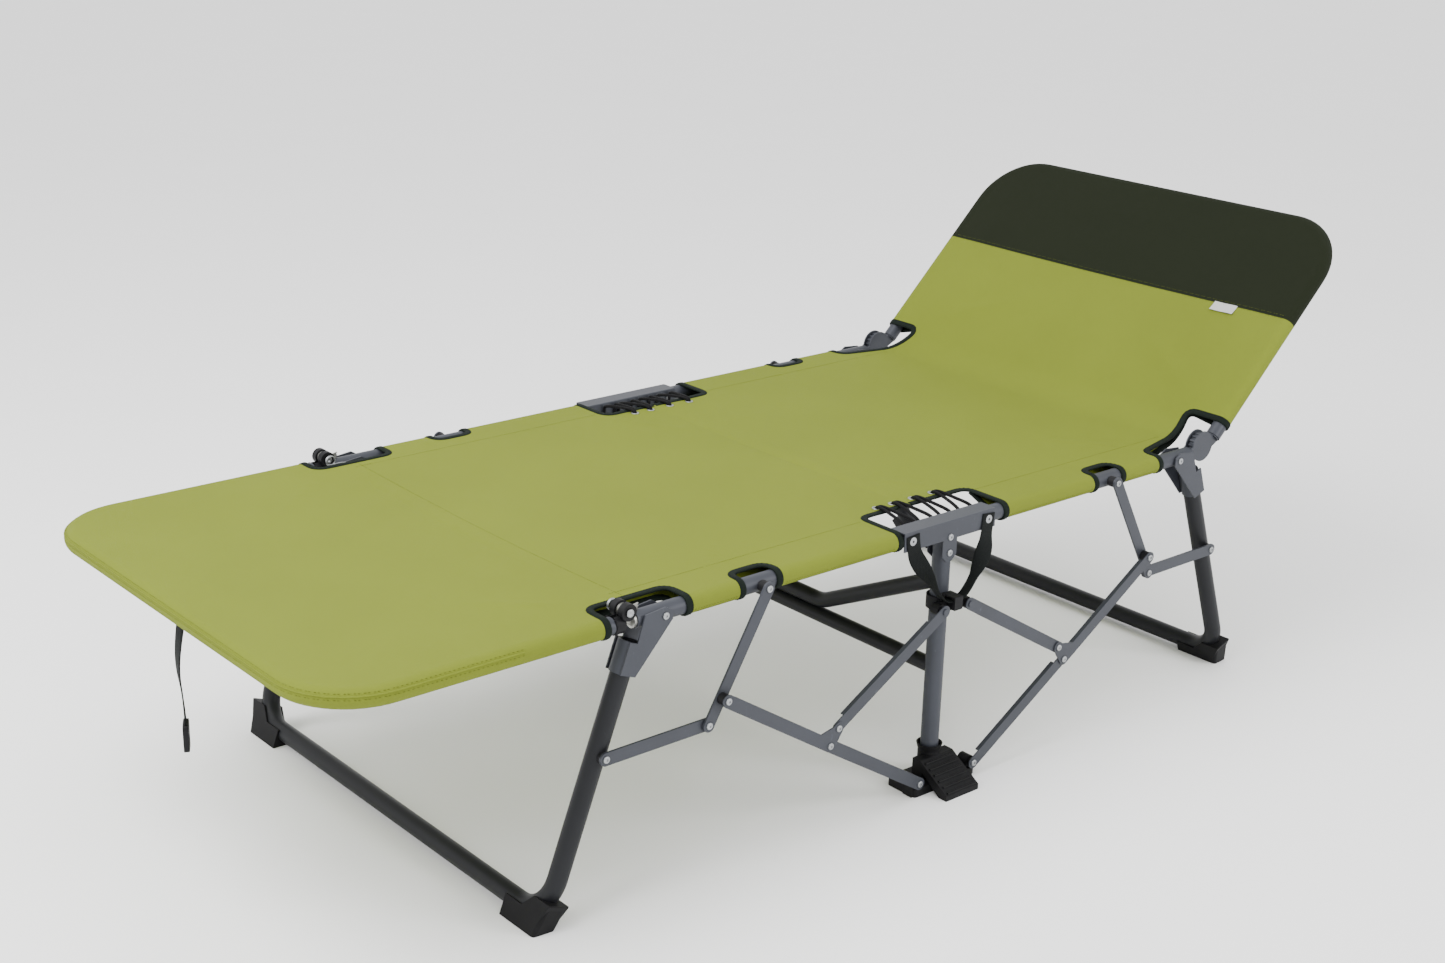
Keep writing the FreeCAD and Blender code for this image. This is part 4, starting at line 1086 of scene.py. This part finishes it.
class COT_OT_carry_straps(bpy.types.Operator):
    """Hangs a webbing strap from the two rail pivots of each side through its collar"""

    bl_idname = "cot.carry_straps"
    bl_label = "Carry straps"

    def execute(self, context):
        made = finish(context)
        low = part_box("carry_straps")[0][2] + 0.0008
        outer = widest("carry_straps", 1) - 0.008
        cheek = RAIL_Y + CHANNEL_OUT + 0.0009
        for side, hand in ((-1, "left"), (1, "right")):
            half = [(PIVOT_X, cheek, RAIL_Z + 0.008), (PIVOT_X - 0.001, cheek, RAIL_Z - 0.004),
                    (PIVOT_X - 0.004, cheek + 0.001, RAIL_Z - 0.020),
                    (PIVOT_X - 0.010, outer - 0.004, low + 0.060),
                    (PIVOT_X * 0.62, outer, low + 0.034), (PIVOT_X * 0.40, outer, low + 0.012),
                    (0.017, outer, low + 0.0012), (0.009, outer, low)]
            route = [(CENTRE_X + x, side * y, z) for x, y, z in half]
            route += [(CENTRE_X - x, side * y, z) for x, y, z in reversed(half)]
            line = followed(route, 6)
            facings, widths = [], []
            for place in line:
                share = min(max((RAIL_Z - 0.012 - place.z) / (RAIL_Z - 0.012 - low - 0.016), 0.0), 1.0)
                turn = math.pi / 2 * share * share * (3 - 2 * share)
                widths.append(STRAP_WIDE + (LOOP_WIDE - STRAP_WIDE) * min(share * 1.15, 1.0) ** 3)
                flank = 1 if place.x > CENTRE_X else -1
                flat = Vector((0.86, 0, 0.5 * -flank))
                facings.append(flat * math.cos(turn) + Vector((0, side * flank, 0)) * math.sin(turn) * flank)
            strap = webbing(f"carry_strap_{hand}", line, facings, widths, WEBBING_T, made["webbing"])
            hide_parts("carry_straps")
            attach(strap, "centre_frame")
        return {"FINISHED"}


# the buckle strap's route in the side plane, from the hem of the foot end
STRAP_ROUTE = ((-0.913, 0.354), (-0.919, 0.325), (-0.922, 0.290), (-0.917, 0.255), (-0.916, 0.222))
STRAP_TWIST = 0.5            # turn of the webbing from its top to the buckle, in radians
BUCKLE_STRAP_WIDE, BUCKLE_STRAP_T = 0.020, 0.0018
BUCKLE_WIDE, BUCKLE_LONG, BUCKLE_THICK = 0.028, 0.036, 0.0068


def buckle_shape(centre, turn, material):
    """A flat moulded clip with a strap slot and two windows, rounded on its edges."""
    curve = bpy.data.curves.new("clip", "CURVE")
    curve.dimensions = "2D"
    curve.fill_mode = "BOTH"
    curve.extrude = BUCKLE_THICK / 2 - 0.001
    curve.bevel_depth = 0.001
    curve.bevel_resolution = 2
    wide, long = BUCKLE_WIDE / 2 - 0.001, BUCKLE_LONG / 2 - 0.001
    body = rounded([(-wide, long), (-wide * 0.86, -long), (wide * 0.86, -long), (wide, long)], 0.005, 0.002)
    slot_wide, slot_top, slot_low = wide - 0.004, long - 0.004, long - 0.0075
    slot = rounded([(-slot_wide, slot_top), (slot_wide, slot_top), (slot_wide, slot_low),
                    (-slot_wide, slot_low)], 0.0012, 0.002)
    holes = [rounded([(s * 0.0015, 0.004), (s * 0.0085, 0.004), (s * 0.0085, -0.007), (s * 0.0015, -0.007)],
                     0.0015, 0.002) for s in (-1, 1)]
    for outline in [body, slot] + holes:
        spline = curve.splines.new("POLY")
        spline.points.add(len(outline) - 1)
        for spot, place in zip(spline.points, outline):
            spot.co = (place.x, place.y, 0, 1)
        spline.use_cyclic_u = True
    curve.materials.append(material)
    clip = linked("strap_buckle", curve)
    upright = Matrix(((0, 0, 1, 0), (1, 0, 0, 0), (0, 1, 0, 0), (0, 0, 0, 1)))
    clip.matrix_world = Matrix.Translation(centre) @ Matrix.Rotation(-turn, 4, "Z") @ upright
    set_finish(clip, "black_plastic")
    return settled(clip)


class COT_OT_buckle_strap(bpy.types.Operator):
    """Hangs the webbing strap and its buckle under the foot end"""

    bl_idname = "cot.buckle_strap"
    bl_label = "Buckle strap"

    def execute(self, context):
        made = finish(context)
        line = followed([(CENTRE_X + x, 0.0, z) for x, z in STRAP_ROUTE], 10)
        turns = [STRAP_TWIST * i / (len(line) - 1) for i in range(len(line))]
        facings = [Vector((math.sin(a), math.cos(a), 0)) for a in turns]
        strap = webbing("buckle_strap_webbing", line, facings, [BUCKLE_STRAP_WIDE] * len(line),
                        BUCKLE_STRAP_T, made["webbing"])
        end = line[-1]
        buckle = buckle_shape((end.x, 0.0, end.z - BUCKLE_LONG / 2), STRAP_TWIST, made["black_nylon"])
        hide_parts("buckle_strap")
        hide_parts("buckle")
        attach(strap, "foot_section")
        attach(buckle, "foot_section")
        return {"FINISHED"}


# ---- small hardware
BARREL = widest("knuckles_foot", 1) - RAIL_Y     # from the rail axis to a foot hinge barrel's end
COIL_R, SPRING_WIRE_R = 0.0075, 0.0007
PIN_HEAD_R, PIN_HEAD_H = 0.0052, 0.0018


class COT_OT_hinge_springs(bpy.types.Operator):
    """Adds the wire springs and the zinc pin heads of the foot hinges"""

    bl_idname = "cot.hinge_springs"
    bl_label = "Hinge springs"

    def execute(self, context):
        made = finish(context)
        wires = []
        x, _, z = FOOT_HINGE
        for side in (-1, 1):
            y = side * (RAIL_Y - 0.0185)
            coil = [(x + COIL_R * math.cos(k * math.pi / 4), y + side * -0.0011 * k / 8,
                     z + COIL_R * math.sin(k * math.pi / 4)) for k in range(22)]
            tail = [(x + 0.020, y - side * 0.003, z - 0.004), (x + 0.034, y - side * 0.001, z - 0.010)]
            wires.append(coil + tail)
        springs = line_piece("hinge_springs", wires, SPRING_WIRE_R, made["zinc_rivets"], "zinc_rivet", 2)
        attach(springs, "foot_half")
        heads = [dome_shape((x, side * (RAIL_Y + flank * BARREL), z), (0, side * flank, 0), PIN_HEAD_R,
                            PIN_HEAD_H) for side in (-1, 1) for flank in (-1, 1)]
        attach(new_piece("hinge_pin_heads", gathered(heads), [made["zinc_rivets"]], "zinc_rivet"),
                "foot_section")
        return {"FINISHED"}


# ---- finishes of the carried-over parts
class COT_OT_finishes(bpy.types.Operator):
    """Gives every tube, link, rivet and moulding its finish"""

    bl_idname = "cot.finishes"
    bl_label = "Frame finishes"

    def execute(self, context):
        made = finish(context)
        by_slot = {"grey_steel": "powder_coat", "zinc_rivet": "zinc_rivets", "zinc_plate": "zinc_sheet",
                   "black_plastic": "black_nylon", "green_fabric": "deck_cloth", "black_webbing": "webbing",
                   "black_cord": "elastic"}
        # legs, brace and crossbar take the dark coat whose colour holds painted shade
        special = {**dict.fromkeys(("leg_foot", "leg_head", "brace", "crossbar"), "leg_coat"),
                   **dict.fromkeys(("boots_foot", "boots_head", "pedal_left", "pedal_right"), "foot_nylon")}
        for part in frame["record"]["subparts"]:
            node = frame["nodes"][part["node"]]
            material = made[special.get(part["node"], by_slot[part["material_slot"]])]
            if not node.material_slots:
                node.data.materials.append(material)
            for holder in node.material_slots:
                holder.material = material
        return {"FINISHED"}


# ---- stage
CAMERA_AT = (-1.84324, -2.07066, 1.30464)
CAMERA_AZIMUTH, CAMERA_RISE, CAMERA_ROLL = -40.7994, 19.2007, 1.5594


class COT_OT_stage(bpy.types.Operator):
    """Sets the floor, the soft lamps and the camera"""

    bl_idname = "cot.stage"
    bl_label = "Stage"

    def execute(self, context):
        scene, stage = context.scene, context.scene.cot_stage
        az, rise, roll = (math.radians(a) for a in (CAMERA_AZIMUTH, CAMERA_RISE, CAMERA_ROLL))
        back = Vector((math.sin(az) * math.cos(rise), -math.cos(az) * math.cos(rise), math.sin(rise)))
        right = (-back).cross(Vector((0, 0, 1))).normalized()
        up = right.cross(-back)
        turned = (math.cos(roll) * right + math.sin(roll) * up,
                  math.cos(roll) * up - math.sin(roll) * right, back)
        data = bpy.data.cameras.new("camera")
        data.sensor_width = 36.0
        data.lens = stage.lens
        data.clip_end = 100.0
        camera = linked("camera", data)
        camera.matrix_world = Matrix.Translation(CAMERA_AT) @ Matrix(turned).transposed().to_4x4()
        scene.camera = camera

        half = stage.floor_size / 2
        floor_mesh = bpy.data.meshes.new("floor")
        floor_mesh.from_pydata([(-half, -half, 0), (half, -half, 0), (half, half, 0), (-half, half, 0)], [],
                               [(0, 1, 2, 3)])
        material, tree, shader = blank("studio_floor")
        colour = shades(tree, grain(tree, 3.0, 2.0), tuple(stage.floor_colour), (0.3, 0.99), (0.7, 1.0))
        tree.links.new(colour, shader.inputs["Base Color"])
        shader.inputs["Roughness"].default_value = 0.8
        floor_mesh.materials.append(material)
        floor = linked("floor", floor_mesh)

        world = scene.world or bpy.data.worlds.new("studio")
        scene.world = world
        world.use_nodes = True
        sky = world.node_tree.nodes["Background"]
        sky.inputs["Color"].default_value = (1.0, 1.0, 1.0, 1.0)
        sky.inputs["Strength"].default_value = stage.room_light
        for name, place, size, power in (("key_lamp", (1.4, -3.0, 1.7), 1.4, stage.key_power),
                                         ("top_lamp", (-1.9, 0.2, 2.7), 2.4, stage.top_power)):
            data = bpy.data.lights.new(name, "AREA")
            data.shape = "DISK"
            data.size = size
            data.energy = power
            lamp = linked(name, data)
            lamp.location = place
            lamp.rotation_euler = (Vector((0, 0, 0.35)) - Vector(place)).to_track_quat("-Z", "Y").to_euler()
        return {"FINISHED"}


class COT_PT_panel(bpy.types.Panel):
    """The cot's pieces and their settings"""

    bl_idname = "COT_PT_panel"
    bl_label = "Folding Cot"
    bl_space_type = "VIEW_3D"
    bl_region_type = "UI"
    bl_category = "Cot"

    def draw(self, context):
        for settings in (context.scene.cot_cloth, context.scene.cot_frame, context.scene.cot_stage):
            box = self.layout.box()
            for name in settings.__annotations__:
                box.prop(settings, name)
        for operator in OPERATORS:
            self.layout.operator(operator.bl_idname)


SETTINGS = {"cot_cloth": CotClothSettings, "cot_frame": CotFrameSettings, "cot_stage": CotStageSettings}
OPERATORS = (COT_OT_stage, COT_OT_buckle_strap, COT_OT_cover, COT_OT_bindings, COT_OT_seams, COT_OT_label,
             COT_OT_lacing, COT_OT_carry_straps, COT_OT_hinge_springs, COT_OT_finishes)


def register():
    for cls in (*SETTINGS.values(), *OPERATORS, COT_PT_panel):
        bpy.utils.register_class(cls)
    for name, cls in SETTINGS.items():
        setattr(bpy.types.Scene, name, PointerProperty(type=cls))


def unregister():
    for name in SETTINGS:
        delattr(bpy.types.Scene, name)
    for cls in reversed((*SETTINGS.values(), *OPERATORS, COT_PT_panel)):
        bpy.utils.unregister_class(cls)


def main():
    register()
    bpy.ops.cot.stage()
    bpy.ops.cot.buckle_strap()
    bpy.ops.cot.cover()
    bpy.ops.cot.bindings()
    bpy.ops.cot.seams()
    bpy.ops.cot.label()
    bpy.ops.cot.lacing()
    bpy.ops.cot.carry_straps()
    bpy.ops.cot.hinge_springs()
    bpy.ops.cot.finishes()


if __name__ == "__main__":
    main()
